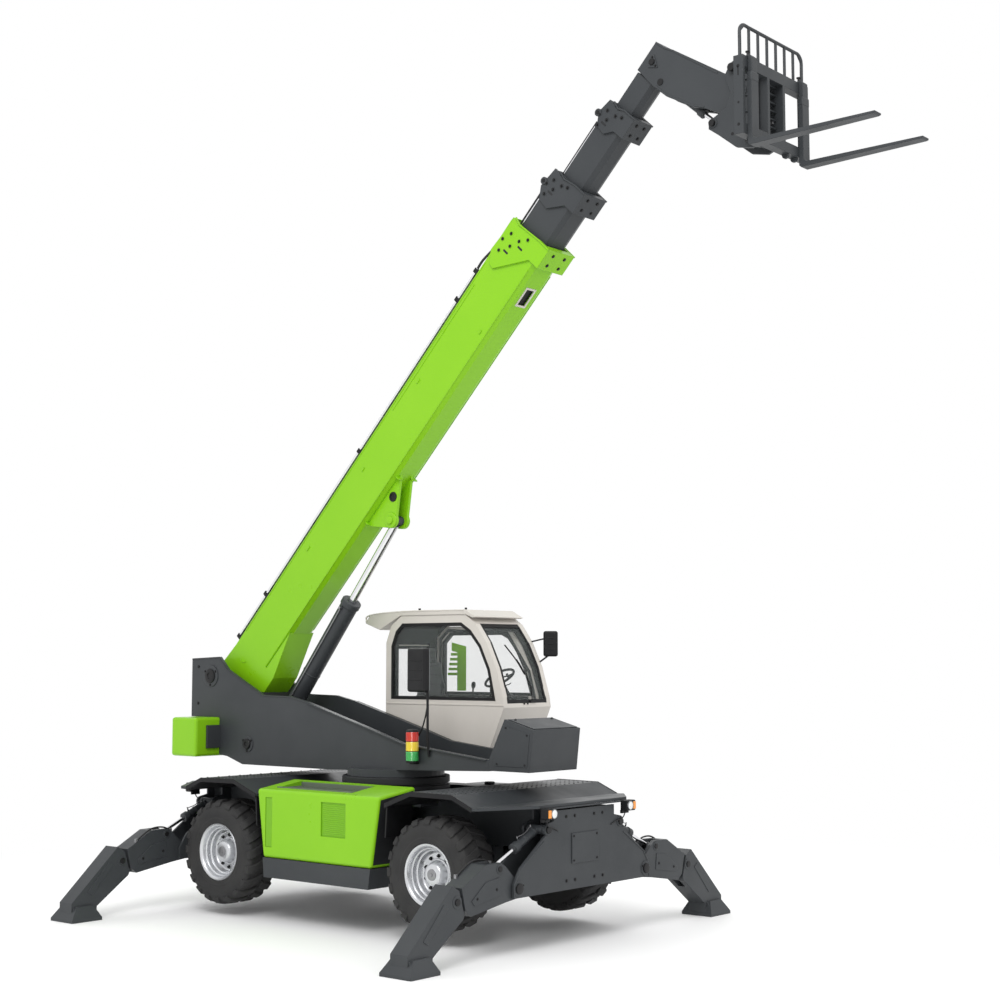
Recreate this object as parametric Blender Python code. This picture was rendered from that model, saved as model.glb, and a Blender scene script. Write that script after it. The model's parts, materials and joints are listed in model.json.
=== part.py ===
"""Rotating telehandler on its four stabilisers, with the boom raised and part extended.

Metres, +Z up, +X forward, +Y to the machine's left. The origin is on the floor, at the middle of the
machine's bounding box. Inside each group the positions are counted from the slew axis, at floor level.
"""

import bpy
from math import cos, pi, radians, sin
from mathutils import Vector

# Clearances
touch = 0.0003
slide_gap = 0.0008
clear = 0.007

# Wheels and axles
wheelbase = 3.17
axle_x = wheelbase / 2
wheel_lift = 0.118
tyre_radius = 0.575
tyre_width = 0.445
rim_radius = 0.29
rim_wall = 0.012
overall_width = 2.44
axle_z = wheel_lift + tyre_radius
wheel_y = (overall_width - tyre_width) / 2
kingpin_y = 0.83
yoke_reach = 0.17
axle_room = 0.24

# Chassis
frame_half = 0.36
frame_top = 1.33
frame_end_x = 2.36
deck_plate = 0.03
deck_half = 1.2
side_box_y = (0.64, 1.2)
side_box_top_x = (-0.956, 0.903)
side_box_bottom_x = (-0.85, 0.785)
side_box_z = (0.69, 1.42, 1.50)
skirt_z = 0.48
ring_radius = 0.60
ring_z = (frame_top + touch, 1.553)

# Stabilisers
leg_x = 2.49
leg_half = 0.108
plate_thick = 0.025
arm_pivot = (1.05, 0.64)
knee_pivot = (1.865, 0.475)
pad_centre = 2.415
pad_half = 0.195
strut_base = (0.60, 1.16)
strut_eye = (1.29, 0.845)

# Turret
turret_half = 0.39
turret_plate = 0.04
turret_rear = -3.07
turret_floor = (1.60, 1.64)
boom_pivot = (-2.72, 2.63)
lift_base = (-2.04, 1.84)
weight_x = (-3.0, -2.55)
weight_z = (1.685, 2.14)
weight_half = 0.75
lift_lug = 0.24
cab_y = (0.45, 1.27)
cab_wall = 0.04

# Boom, in its own frame: x runs along it from its pivot, z is square to it
boom_angle = radians(46)
lift_eye = (3.15, -0.734)
base_end = 6.70
# half width, underside, top, rear end, front end, wall
base_tube = (0.190, -0.489, 0.104, 0.42, base_end, 0.012)
second_tube = (0.160, -0.463, -0.039, 0.90, 7.40, 0.010)
third_tube = (0.130, -0.4386, -0.1036, 1.50, 8.31, 0.010)
fourth_tube = (0.100, -0.4156, -0.1586, 2.20, 8.694, 0.010)

# Nose and fork carriage
nose_half = 0.12
nose_start = (3.44, 8.79)
tilt_pivot = (4.67, 8.28)
tilt_base = (3.72, 8.60)
tilt_eye = (4.36, 8.03)
carriage_front = 5.0
carriage_half = 0.605
fork_y = 0.47
fork_width = 0.12
fork_tip = 6.28
fork_base = 7.60

middle_x = (turret_rear + fork_tip) / 2


# ---------------------------------------------------------------- helpers

for old in list(bpy.data.objects):
    bpy.data.objects.remove(old, do_unlink=True)


def paint(name, colour, roughness=0.5, metallic=0.0):
    material = bpy.data.materials.new(name)
    material.use_nodes = True
    shader = material.node_tree.nodes["Principled BSDF"]
    shader.inputs["Base Color"].default_value = (*colour, 1)
    shader.inputs["Roughness"].default_value = roughness
    shader.inputs["Metallic"].default_value = metallic
    material.diffuse_color = (*colour, 1)
    return material


green = paint("lime_paint", (0.31, 0.72, 0.03), 0.35)
grey = paint("charcoal_paint", (0.068, 0.076, 0.082), 0.5)
dark = paint("dark_paint", (0.03, 0.032, 0.035), 0.6)
silver = paint("silver_paint", (0.55, 0.56, 0.58), 0.35, 0.6)
rubber = paint("tyre_rubber", (0.02, 0.02, 0.021), 0.85)
chrome = paint("chrome", (0.8, 0.8, 0.82), 0.12, 1.0)
cream = paint("cab_paint", (0.68, 0.65, 0.6), 0.4)
cloth = paint("seat_cloth", (0.03, 0.03, 0.032), 0.9)


def frame(name, parent=None, at=(0, 0, 0), turn_y=0.0):
    """An empty that carries a group of pieces."""
    empty = bpy.data.objects.new(name, None)
    bpy.context.scene.collection.objects.link(empty)
    empty.parent = parent
    empty.location = at
    empty.rotation_euler = (0, turn_y, 0)
    return empty


def shape(name, points, faces, parent, material=None, smooth=False):
    mesh = bpy.data.meshes.new(name)
    mesh.from_pydata([tuple(p) for p in points], [], faces)
    if smooth:
        mesh.shade_smooth()
        mesh.set_sharp_from_angle(angle=radians(35))
    obj = bpy.data.objects.new(name, mesh)
    bpy.context.scene.collection.objects.link(obj)
    obj.parent = parent
    if material:
        mesh.materials.append(material)
    return obj


def signed_area(outline):
    return sum(a[0] * b[1] - b[0] * a[1] for a, b in zip(outline, outline[1:] + outline[:1])) / 2


def place(axis, flat, along):
    """A point from its two coordinates in the outline's plane and one along the axis."""
    if axis == "x":
        return (along, flat[0], flat[1])
    if axis == "y":
        return (flat[0], along, flat[1])
    return (flat[0], flat[1], along)


def prism(name, outline, axis, low, high, parent, material=None):
    """A flat outline pushed through along an axis: (y, z) for x, (x, z) for y, (x, y) for z."""
    outline = [tuple(p) for p in outline]
    if (signed_area(outline) > 0) == (axis == "y"):
        outline.reverse()
    n = len(outline)
    points = [place(axis, p, low) for p in outline] + [place(axis, p, high) for p in outline]
    sides = [(i, (i + 1) % n, (i + 1) % n + n, i + n) for i in range(n)]
    return shape(name, points, [tuple(range(n))[::-1], tuple(range(n, 2 * n)), *sides], parent, material)


def box(name, x, y, z, parent, material=None):
    return prism(name, [(x[0], z[0]), (x[1], z[0]), (x[1], z[1]), (x[0], z[1])], "y", *y, parent, material)


def lathe(name, profile, start, end, parent, material=None, segments=32):
    """A closed (radius, along) profile turned about the line from start towards end."""
    start = Vector(start)
    aim = (Vector(end) - start).normalized()
    side = aim.orthogonal().normalized()
    other = aim.cross(side)
    if signed_area(profile) < 0:
        profile = profile[::-1]
    points, rings = [], []
    for radius, along in profile:
        if radius == 0:
            rings.append([len(points)] * segments)
            points.append(start + aim * along)
            continue
        rings.append(range(len(points), len(points) + segments))
        for i in range(segments):
            angle = 2 * pi * i / segments
            points.append(start + aim * along + radius * (side * cos(angle) + other * sin(angle)))
    faces = []
    for a, b in zip(rings, rings[1:] + rings[:1]):
        for i in range(segments):
            j = (i + 1) % segments
            corners = list(dict.fromkeys((a[i], a[j], b[j], b[i])))
            if len(corners) > 2:
                faces.append(corners)
    return shape(name, points, faces, parent, material, smooth=True)


def rod(name, start, end, radius, parent, material=None, segments=24):
    length = (Vector(end) - Vector(start)).length
    profile = [(0, 0), (radius, 0), (radius, length), (0, length)]
    return lathe(name, profile, start, end, parent, material, segments)


def pin(name, at, low, high, radius, parent, material=None, segments=24):
    """A round bar across the machine at (x, z)."""
    return rod(name, (at[0], low, at[1]), (at[0], high, at[1]), radius, parent, material, segments)


def combine(target, operation, *tools):
    for tool in tools:
        modifier = target.modifiers.new(tool.name, "BOOLEAN")
        modifier.operation = operation
        modifier.object = tool
        modifier.solver = "EXACT"
        tool.hide_render = True
        tool.display_type = "WIRE"
    return target


def add(target, *tools):
    return combine(target, "UNION", *tools)


def cut(target, *tools):
    return combine(target, "DIFFERENCE", *tools)


def arc(centre, radius, first, last, steps):
    """Points on an arc, angles in degrees."""
    turns = [radians(first + (last - first) * i / steps) for i in range(steps + 1)]
    return [(centre[0] + radius * cos(t), centre[1] + radius * sin(t)) for t in turns]


machine = frame("machine", at=(-middle_x, 0, 0))


# ---------------------------------------------------------------- chassis

def chassis_frame():
    belly = 0.50
    over_axle = axle_z + axle_room
    half = [(frame_end_x, 0.60), (2.02, 0.60), (1.92, over_axle), (1.25, over_axle), (1.13, belly)]
    outline = half + [(-x, z) for x, z in half[::-1]] + [(-frame_end_x, frame_top), (frame_end_x, frame_top)]
    body = prism("chassis_frame", outline, "y", -frame_half, frame_half, machine, grey)
    slot = box("frame_slot", (-1.0, 1.0), (-0.30, 0.30), (belly - 0.1, belly + 0.25), machine)
    table = box("ring_table", (-0.97, 0.97), (-side_box_y[0] + touch, side_box_y[0] - touch),
                (frame_top - 0.04, frame_top), machine)
    return add(cut(body, slot), table)


def outrigger_frame(name, end, owner):
    """Two shaped plates across the end of the chassis, with the stabilisers' roots between them."""
    ear = arc(strut_base, 0.06, -60, 90, 5)
    half = [(1.12, 0.55), (1.12, 0.68), (1.02, 0.83), *ear, (0.50, 1.24), (0.50, 1.34)]
    outline = [(-y, z) for y, z in half] + half[::-1]
    outer = sorted(end * x for x in (leg_x + leg_half + clear, leg_x + leg_half + clear + plate_thick))
    inner = sorted(end * x for x in (leg_x - leg_half - clear, leg_x - leg_half - clear - plate_thick))
    span = sorted(end * x for x in (leg_x - leg_half - 2 * clear, leg_x + leg_half + 2 * clear))
    pieces = [prism(name + "_outer", outline, "x", *outer, machine)]
    pieces.append(prism(name + "_inner", outline, "x", *inner, machine))
    pieces.append(box(name + "_core", span, (-0.40, 0.40), (0.55, 1.34), machine))
    pieces.append(box(name + "_sole", span, (-0.86, 0.86), (0.55, 0.575), machine))
    for side in (-1, 1):
        ends = (end * (leg_x - leg_half - 2 * clear), end * (leg_x + leg_half + 2 * clear))
        for label, (y, z), radius in (("root", arm_pivot, 0.035), ("strut", strut_base, 0.022)):
            start, stop = ((x, side * y, z) for x in ends)
            pieces.append(rod(f"{name}_{label}_{side}", start, stop, radius, machine))
    return add(owner, *pieces)


def deck(name, end):
    """The folded plate over one axle: a fender each side and the floor between them."""
    top = [(0.98, 1.364), (1.34, 1.50), (1.90, 1.495), (2.16, 1.385), (2.63, 1.402)]
    outline = [(end * x, z) for x, z in top + [(x, z - deck_plate) for x, z in top[::-1]]]
    body = prism(name, outline, "y", -deck_half, deck_half, machine, grey)
    inner = [(0.98, 1.35), (1.34, 1.486), (1.90, 1.481), (2.16, 1.371), (2.34, 1.378)]
    filled = [(end * x, z) for x, z in [(0.98, frame_top + touch), *inner, (2.34, frame_top + touch)]]
    middle = prism(name + "_middle", filled, "y", -frame_half, frame_half, machine)
    corners = []
    for side in (-1, 1):
        corner = [(2.17, 1.3), (2.7, 1.3), (2.7, 0.66), (2.63, 0.72)]
        flat = [(end * x, side * y) for x, y in corner]
        corners.append(prism(f"{name}_corner_{side}", flat, "z", 1.2, 1.7, machine))
    return cut(add(body, middle), *corners)


def engine_cover():
    (y_in, y_out), (z_low, z_out, z_in) = side_box_y, side_box_z
    (rear, front), (low_rear, low_front) = side_box_top_x, side_box_bottom_x
    wall = 0.025

    def hood(name, inset, drop, material=None):
        """The cover's outer or inner surface, as a solid."""
        points = []
        for x_top, x_low, shift in ((rear, low_rear, inset), (front, low_front, -inset)):
            outer, inner = -y_out + inset, -y_in - inset
            points += [(x_low + shift, outer, z_low - drop), (x_top + shift, outer, z_out - inset),
                       (x_top + shift, inner, z_in - inset), (x_low + shift, inner, z_low - drop)]
        faces = [(3, 2, 1, 0), (4, 5, 6, 7), (0, 1, 5, 4), (1, 2, 6, 5), (2, 3, 7, 6), (3, 0, 4, 7)]
        return shape(name, points, [f[::-1] for f in faces], machine, material)

    body = hood("engine_cover", 0, 0, green)
    hollow = hood("engine_cover_hollow", wall, 0.1)
    vent = box("engine_cover_vent", (0.054, 0.419), (-y_out - 0.1, -y_out + 0.012), (0.971, 1.33), machine)
    grille = box("engine_cover_grille", (-0.75, 0.40), (-y_out + 0.12, -y_in - 0.08), (z_out, z_in + 0.1),
                 machine)
    return cut(body, hollow, vent, grille)


def side_boxes():
    (y_in, y_out), (rear, front) = side_box_y, side_box_bottom_x
    floor = side_box_z[0] - touch
    skirt = [(rear + 0.02, skirt_z), (front - 0.03, skirt_z), (front, floor), (rear, floor)]
    right = prism("hydraulic_tank", skirt, "y", -y_out, -frame_half - touch, machine, grey)
    block = box("engine_block", (-0.55, 0.45), (-1.10, -0.68), (side_box_z[0], 1.22), machine, dark)
    tall = [(rear + 0.02, skirt_z), (front - 0.03, skirt_z), (front + 0.09, 1.42), (rear - 0.08, 1.42)]
    left = prism("fuel_tank", tall, "y", y_in, y_out, machine, grey)
    steps = [box(f"step_{i}", (-0.30, 0.25), (y_out - 0.16, y_out + 0.1), (z, z + 0.24), machine)
             for i, z in enumerate((0.55, 0.87))]
    top_step = box("step_top", (-0.30, 0.25), (y_out - 0.32, y_out + 0.1), (1.19, 1.6), machine)
    cut(left, *steps, top_step)
    return right, block, left


def axle(name, end):
    x = end * axle_x
    body = rod(name, (x, -kingpin_y + 0.19, axle_z), (x, kingpin_y - 0.19, axle_z), 0.095, machine, grey)
    bowl = [(0, -0.24), (0.13, -0.22), (0.205, -0.10), (0.215, 0), (0.205, 0.10), (0.13, 0.22), (0, 0.24)]
    housing = lathe(name + "_housing", bowl, (x, 0, axle_z), (x, 1, axle_z), machine, segments=24)
    seat_top = axle_z + axle_room - touch
    seats = [box(f"{name}_seat_{side}", (x - 0.14, x + 0.14), sorted((side * 0.20, side * 0.34)),
                 (axle_z, seat_top), machine) for side in (-1, 1)]
    yokes = []
    for side in (-1, 1):
        inner = side * (kingpin_y - 0.21)
        outer = side * (kingpin_y + 0.055)
        yoke = box(f"{name}_yoke_{side}", (x - 0.06, x + 0.06), sorted((inner, outer)),
                   (axle_z - yoke_reach, axle_z + yoke_reach), machine)
        gap = box(f"{name}_yoke_gap_{side}", (x - 0.1, x + 0.1),
                  sorted((side * (kingpin_y - 0.135), side * (kingpin_y + 0.1))),
                  (axle_z - yoke_reach + 0.04, axle_z + yoke_reach - 0.04), machine)
        yokes.append(cut(yoke, gap))
    return add(body, housing, *seats, *yokes)


chassis = chassis_frame()
for end_name, end in (("front", 1), ("rear", -1)):
    outrigger_frame(end_name + "_outrigger", end, chassis)
    deck(end_name + "_deck", end)
    axle(end_name + "_axle", end)
engine_cover()
side_boxes()
rod("slew_ring", (0, 0, ring_z[0]), (0, 0, ring_z[1]), ring_radius, machine, dark, segments=48)


# ---------------------------------------------------------------- wheels

def knuckle(name, x, side):
    at = frame(name + "_axis", machine, (x, side * kingpin_y, axle_z))
    tall = yoke_reach - 0.04 - slide_gap
    body = lathe(name, [(0, -tall), (0.055, -tall), (0.055, tall), (0, tall)], (0, 0, 0), (0, 0, 1), at, dark, 16)
    hub = rod(name + "_hub", (0, 0, 0), (0, side * (1.0 - kingpin_y), 0), 0.075, at, segments=16)
    flange = rod(name + "_flange", (0, side * (0.97 - kingpin_y), 0), (0, side * (1.02 - touch - kingpin_y), 0),
                 0.15, at, segments=20)
    return add(body, hub, flange), at


def wheel(name, carrier, side):
    """Rim and tyre, turned about the wheel's axis; the profiles run outwards from the wheel's middle."""
    hub = frame(name + "_axis", carrier, (0, side * (wheel_y - kingpin_y), 0))
    out = tyre_width / 2
    r, w = rim_radius, rim_wall
    disc = 1.02 - wheel_y
    rim = [(r + 0.022, -out + 0.014), (r + 0.022, -out + 0.026), (r, -out + 0.034), (r, out - 0.034),
           (r + 0.022, out - 0.026), (r + 0.022, out - 0.014), (r - w, out - 0.014), (r - w - 0.02, disc + 0.09),
           (r - w - 0.07, disc + 0.02), (0.142, disc + 0.02), (0.135, disc + 0.12), (0, disc + 0.12), (0, disc),
           (r - w - 0.03, disc), (r - w, -out + 0.014)]
    start, aim = (0, 0, 0), (0, side, 0)
    lathe(name + "_rim", rim, start, aim, hub, silver, 32)
    bead = r + touch
    tyre = [(bead, -out + 0.036), (r + 0.0225, -out + 0.0277), (r + 0.035, -out + 0.01),
            (0.42, -out), (0.54, -out + 0.015), (tyre_radius, -out + 0.055)]
    profile = tyre + [(radius, -along) for radius, along in tyre[::-1]]
    lathe(name + "_tyre", profile, start, aim, hub, rubber, 32)


for end_name, end in (("front", 1), ("rear", -1)):
    for side_name, side in (("left", 1), ("right", -1)):
        label = f"{end_name}_{side_name}"
        _, carrier = knuckle(label + "_knuckle", end * axle_x, side)
        wheel(label + "_wheel", carrier, side)


# ---------------------------------------------------------------- stabilisers

def hydraulic(name, base, eye, body_frame, out, barrel, piston, across="y", centre=0.0, pin_radius=0):
    """A cylinder between two pins in the plane of (base, eye): barrel on the base pin, rod out to the eye.

    barrel is (radius, length, end thickness, lug width), piston is (radius, length, eye radius, eye width).
    """
    def spot(flat):
        return Vector((centre, flat[0], flat[1])) if across == "x" else Vector((flat[0], centre, flat[1]))

    def lug(label, flat, radius, width, holder, origin):
        shift = Vector((width / 2, 0, 0)) if across == "x" else Vector((0, width / 2, 0))
        return rod(label, spot(flat) - shift - origin, spot(flat) + shift - origin, radius, holder, segments=16)

    radius, length, wall, base_width = barrel
    rod_radius, rod_length, eye_radius, eye_width = piston
    origin = spot(base)
    holder = frame(name + "_axis", body_frame, origin)
    start = Vector((0, 0, 0))
    aim = spot(eye) - origin
    total = aim.length
    bore = rod_radius + 0.012
    mouth = rod_radius + slide_gap
    profile = [(0, 0), (radius, 0), (radius, length - 0.03), (radius + 0.012, length - 0.03),
               (radius + 0.012, length), (mouth, length), (mouth, length - 0.025), (bore, length - 0.03),
               (bore, wall), (0, wall)]
    body = lathe(name + "_barrel", profile, start, aim, holder, out, 20)
    add(body, lug(name + "_lug", base, radius + 0.004, base_width, holder, origin))
    if pin_radius:
        cut(body, lug(name + "_bore", base, pin_radius + slide_gap, base_width + 0.1, holder, origin))
    inner = total - rod_length
    way = aim.normalized()
    stem = rod(name + "_rod", way * inner, way * total, rod_radius, holder, chrome, 16)
    add(stem, lug(name + "_eye", eye, eye_radius, eye_width, holder, origin))
    return body, stem


def stabiliser(label, end, side):
    x_low, x_high = sorted((end * leg_x - leg_half, end * leg_x + leg_half))

    def local(outline, pivot):
        return [(side * (y - pivot[0]), z - pivot[1]) for y, z in outline]

    def across(name, outline, pivot, half, holder, material=None):
        return prism(name, local(outline, pivot), "x", -half, half, holder, material)

    root = frame(label + "_arm_axis", machine, (end * leg_x, side * arm_pivot[0], arm_pivot[1]))
    outline = [*arc(arm_pivot, 0.10, 160, 250, 5), (1.20, 0.525), (1.70, 0.448), (1.782, 0.51), (1.835, 0.72),
               (1.78, 0.745), (1.50, 0.90), (1.28, 0.905), (1.20, 0.86), (1.08, 0.75)]
    arm = across(label + "_arm", outline, arm_pivot, leg_half, root, grey)
    tongue = [(1.70, 0.47), *arc(knee_pivot, 0.058, -140, 100, 9), (1.72, 0.55)]
    add(arm, across(label + "_arm_tongue", tongue, arm_pivot, 0.045, root))
    slot = [(1.12, 0.72), (1.44, 0.76), (1.44, 1.0), (0.9, 1.0), (0.9, 0.72)]
    hole = local([arm_pivot], arm_pivot)[0]
    bore = rod(label + "_arm_bore", (-0.2, *hole), (0.2, *hole), 0.035 + slide_gap, root)
    cut(arm, across(label + "_arm_slot", slot, arm_pivot, 0.062, root), bore)
    for face in (-1, 1):
        y, z = local([strut_eye], arm_pivot)[0]
        stub = (face * 0.08, y, z), (face * 0.043, y, z)
        add(arm, rod(f"{label}_arm_stub_{face}", *stub, 0.022, root, segments=16))

    knee_at = (0, side * (knee_pivot[0] - arm_pivot[0]), knee_pivot[1] - arm_pivot[1])
    knee = frame(label + "_leg_axis", root, knee_at)
    outline = [*arc(knee_pivot, 0.065, 150, 250, 5), (2.23, 0.14), (2.23, 0.04), (2.56, 0.04), (2.56, 0.20),
               (1.965, 0.755), (1.87, 0.70)]
    leg = across(label + "_leg", outline, knee_pivot, leg_half, knee, grey)
    gap = arc(knee_pivot, 0.145, 0, 360, 20)[:-1]
    cut(leg, across(label + "_leg_gap", gap, knee_pivot, 0.045 + touch, knee))
    foot = prism(label + "_foot", local([(pad_centre - pad_half, 0), (pad_centre + pad_half, 0),
                                         (pad_centre + pad_half, 0.03), (pad_centre + 0.10, 0.16),
                                         (pad_centre - 0.12, 0.16), (pad_centre - pad_half, 0.03)], knee_pivot),
                 "x", -pad_half, pad_half, knee)
    trims = []
    for face in (-1, 1):
        wedge = [(face * pad_half * 2, 0.03), (face * (pad_half + 0.001), 0.03), (face * 0.115, 0.20),
                 (face * pad_half * 2, 0.20)]
        flat = [(x, z - knee_pivot[1]) for x, z in wedge]
        low, high = sorted((side * (pad_centre - 0.4 - knee_pivot[0]), side * (pad_centre + 0.4 - knee_pivot[0])))
        trims.append(prism(f"{label}_foot_trim_{face}", flat, "y", low, high, knee))
    add(leg, cut(foot, *trims))

    base = (side * strut_base[0], strut_base[1])
    eye = (side * strut_eye[0], strut_eye[1])
    hydraulic(label + "_strut", base, eye, machine, grey, (0.042, 0.40, 0.035, 0.19),
              (0.020, 0.385, 0.036, 0.07), "x", end * leg_x, 0.022)


for end_name, end in (("front", 1), ("rear", -1)):
    for side_name, side in (("left", 1), ("right", -1)):
        stabiliser(f"{end_name}_{side_name}_stabiliser", end, side)


# ---------------------------------------------------------------- turret

turret = frame("turret_axis", machine)


def turret_frame():
    """Two long side plates joined by a floor and cross walls, standing on the slew bearing."""
    top = [(turret_rear, 2.84), (-2.57, 2.86), (-2.41, 2.705), (-1.79, 2.414), (-1.32, 2.404), (-1.015, 2.343),
           (-0.07, 2.086), (0.48, 1.928), (1.69, 1.797)]
    notch_x, notch_z = weight_x[1] + touch, weight_z[1] + touch
    low = [(1.69, 1.68), (-0.65, turret_floor[0]), (-2.13, turret_floor[0]), (-2.40, 1.684),
           (notch_x, 1.70), (notch_x, notch_z), (turret_rear, notch_z)]
    inner = turret_half - turret_plate
    body = prism("turret_frame", top + low, "y", -turret_half, -inner, turret, grey)
    far = prism("turret_left_plate", top + low, "y", inner, turret_half, turret)
    floor = prism("turret_floor", [(-2.12, turret_floor[0]), (-0.65, turret_floor[0]), (1.69, 1.68), (1.69, 1.715),
                                   (-0.65, turret_floor[1]), (-2.12, turret_floor[1])], "y", -inner - 0.01,
                  inner + 0.01, turret)
    bearing = rod("turret_bearing", (0, 0, ring_z[1] + slide_gap), (0, 0, turret_floor[1]), 0.54, turret, segments=40)
    tail = box("turret_tail", (-2.535, -2.47), (-inner - 0.01, inner + 0.01), (1.72, 2.06), turret)
    nose = box("turret_nose", (1.62, 1.69), (-inner - 0.01, inner + 0.01), (1.69, 1.80), turret)
    stubs = []
    stubs.append(pin("turret_boom_pin", boom_pivot, -inner - 0.01, inner + 0.01, 0.07, turret))
    for side in (-1, 1):
        ends = sorted((side * (inner + 0.01), side * (lift_lug / 2 + touch)))
        stubs.append(pin(f"turret_lift_stub_{side}", lift_base, *ends, 0.06, turret))
        stubs.append(box(f"turret_cab_arm_{side}", (-0.45 + 0.6 * side, -0.33 + 0.6 * side),
                         (inner + 0.01, cab_y[0] - touch), (1.80, 1.90), turret))
    return add(body, far, floor, bearing, tail, nose, *stubs)


def counterweight():
    body = box("counterweight", weight_x, (-weight_half, weight_half), weight_z, turret, green)
    bevel = body.modifiers.new("round_edges", "BEVEL")
    bevel.width = 0.03
    bevel.segments = 2
    return body


def front_box():
    outline = [(1.90, 2.215), (2.28, 2.115), (2.23, 1.685), (1.69 + touch, 1.685), (1.69 + touch, 1.80)]
    return prism("front_box", outline, "y", -turret_half, turret_half, turret, grey)


turret_frame()
counterweight()
front_box()


# ---------------------------------------------------------------- cab

def cab_side(inset=0.0):
    """The cab's outline from the side, (x, z), moved in by inset."""
    g = inset
    return [(-0.60 + g, 1.72 + g), (0.93 - g, 1.72 + g), (1.19 - g, 2.30), (1.17 - g, 2.42), (1.07 - g, 2.74),
            (0.93 - g, 3.02), (0.78 - g, 3.22 - g * 0.6), (0.62 - g, 3.33 - g), (-0.36 + g, 3.33 - g),
            (-0.52 + g, 3.22 - g * 0.6), (-0.60 + g, 3.02)]


def cab_window(inset):
    """The glazed area of either side, above the belt line."""
    return [(-0.53 + inset, 2.36 + inset), (1.08 - inset, 2.36 + inset), (1.00 - inset, 2.72), (0.87 - inset, 2.98),
            (0.72 - inset, 3.17 - inset), (0.58 - inset, 3.255 - inset), (-0.34 + inset, 3.255 - inset),
            (-0.46 + inset, 3.17 - inset), (-0.53 + inset, 2.98)]


def cab():
    near, far = cab_y
    door_low, door_high = (-0.50, 0.86)
    shell = prism("cab_shell", cab_side(), "y", near, far, turret, cream)
    hollow = prism("cab_hollow", cab_side(cab_wall), "y", near + cab_wall, far - cab_wall, turret)
    side_window = prism("cab_side_window", cab_window(0.02), "y", near - 0.1, near + 0.1, turret)
    rear_window = box("cab_rear_window", (-0.8, -0.45), (near + 0.10, far - 0.10), (2.30, 2.98), turret)
    screen = [(1.5, 2.36), (1.04, 2.36), (0.74, 3.13), (0.70, 3.18), (1.0, 3.4)]
    windscreen = prism("cab_windscreen", screen, "y", near + 0.075, far - 0.075, turret)
    roof_window = box("cab_roof_window", (-0.25, 0.50), (near + 0.14, far - 0.14), (3.2, 3.5), turret)

    def door_outline(shrink):
        g = shrink
        return [(door_low + g, 1.80 + g), (door_high - g, 1.80 + g), (1.06 - g, 2.30), (1.04 - g, 2.42),
                (0.94 - g, 2.72), (0.80 - g, 2.98), (0.66 - g, 3.15 - g), (0.54 - g, 3.22 - g),
                (-0.34 + g, 3.22 - g), (door_low + g, 3.08 - g)]

    doorway = prism("cab_doorway", door_outline(0), "y", far - 0.1, far + 0.1, turret)
    cut(shell, hollow, side_window, rear_window, windscreen, roof_window, doorway)

    proud = 0.015
    hinge = frame("cab_door_axis", turret, (door_low, far + proud, 0))
    gap = 0.006
    panel = [(x - door_low, z) for x, z in door_outline(gap)]
    door = prism("cab_door", panel, "y", -cab_wall - proud, -proud, hinge, cream)
    glazing = [(x - door_low, z) for x, z in [(-0.42, 2.42), (0.96, 2.42), (0.86, 2.72), (0.73, 2.95), (0.61, 3.09),
                                              (0.50, 3.14), (-0.30, 3.14), (-0.42, 3.03)]]
    lower = [(x - door_low, z) for x, z in [(-0.40, 1.90), (0.80, 1.90), (0.95, 2.28), (-0.40, 2.28)]]
    cut(door, prism("cab_door_window", glazing, "y", -0.1, 0.1, hinge),
        prism("cab_door_light", lower, "y", -0.1, 0.1, hinge))
    for z in (2.00, 2.90):
        for owner, low, way in ((door, z, 1), (shell, z + 0.09 + touch, -1)):
            label = f"{owner.name}_hinge_{z}"
            strap = box(label + "_strap", sorted((0, way * 0.06)), (-proud - 0.005, -0.004),
                        (low, low + 0.06), hinge)
            add(owner, rod(label, (0, 0, low), (0, 0, low + 0.09), 0.012, hinge, segments=12), strap)

    roof = [(-0.93, 3.25), (-0.86, 3.345), (-0.30, 3.385), (0.62, 3.385), (0.78, 3.30), (0.74, 3.29),
            (0.63, 3.33 + touch), (-0.37, 3.33 + touch), (-0.56, 3.24), (-0.70, 3.17)]
    top = prism("cab_roof", roof, "y", near - 0.01, far + 0.01, turret, cream)
    cut(top, box("cab_roof_light", (-0.25, 0.50), (near + 0.14, far - 0.14), (3.2, 3.5), turret))


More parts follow.
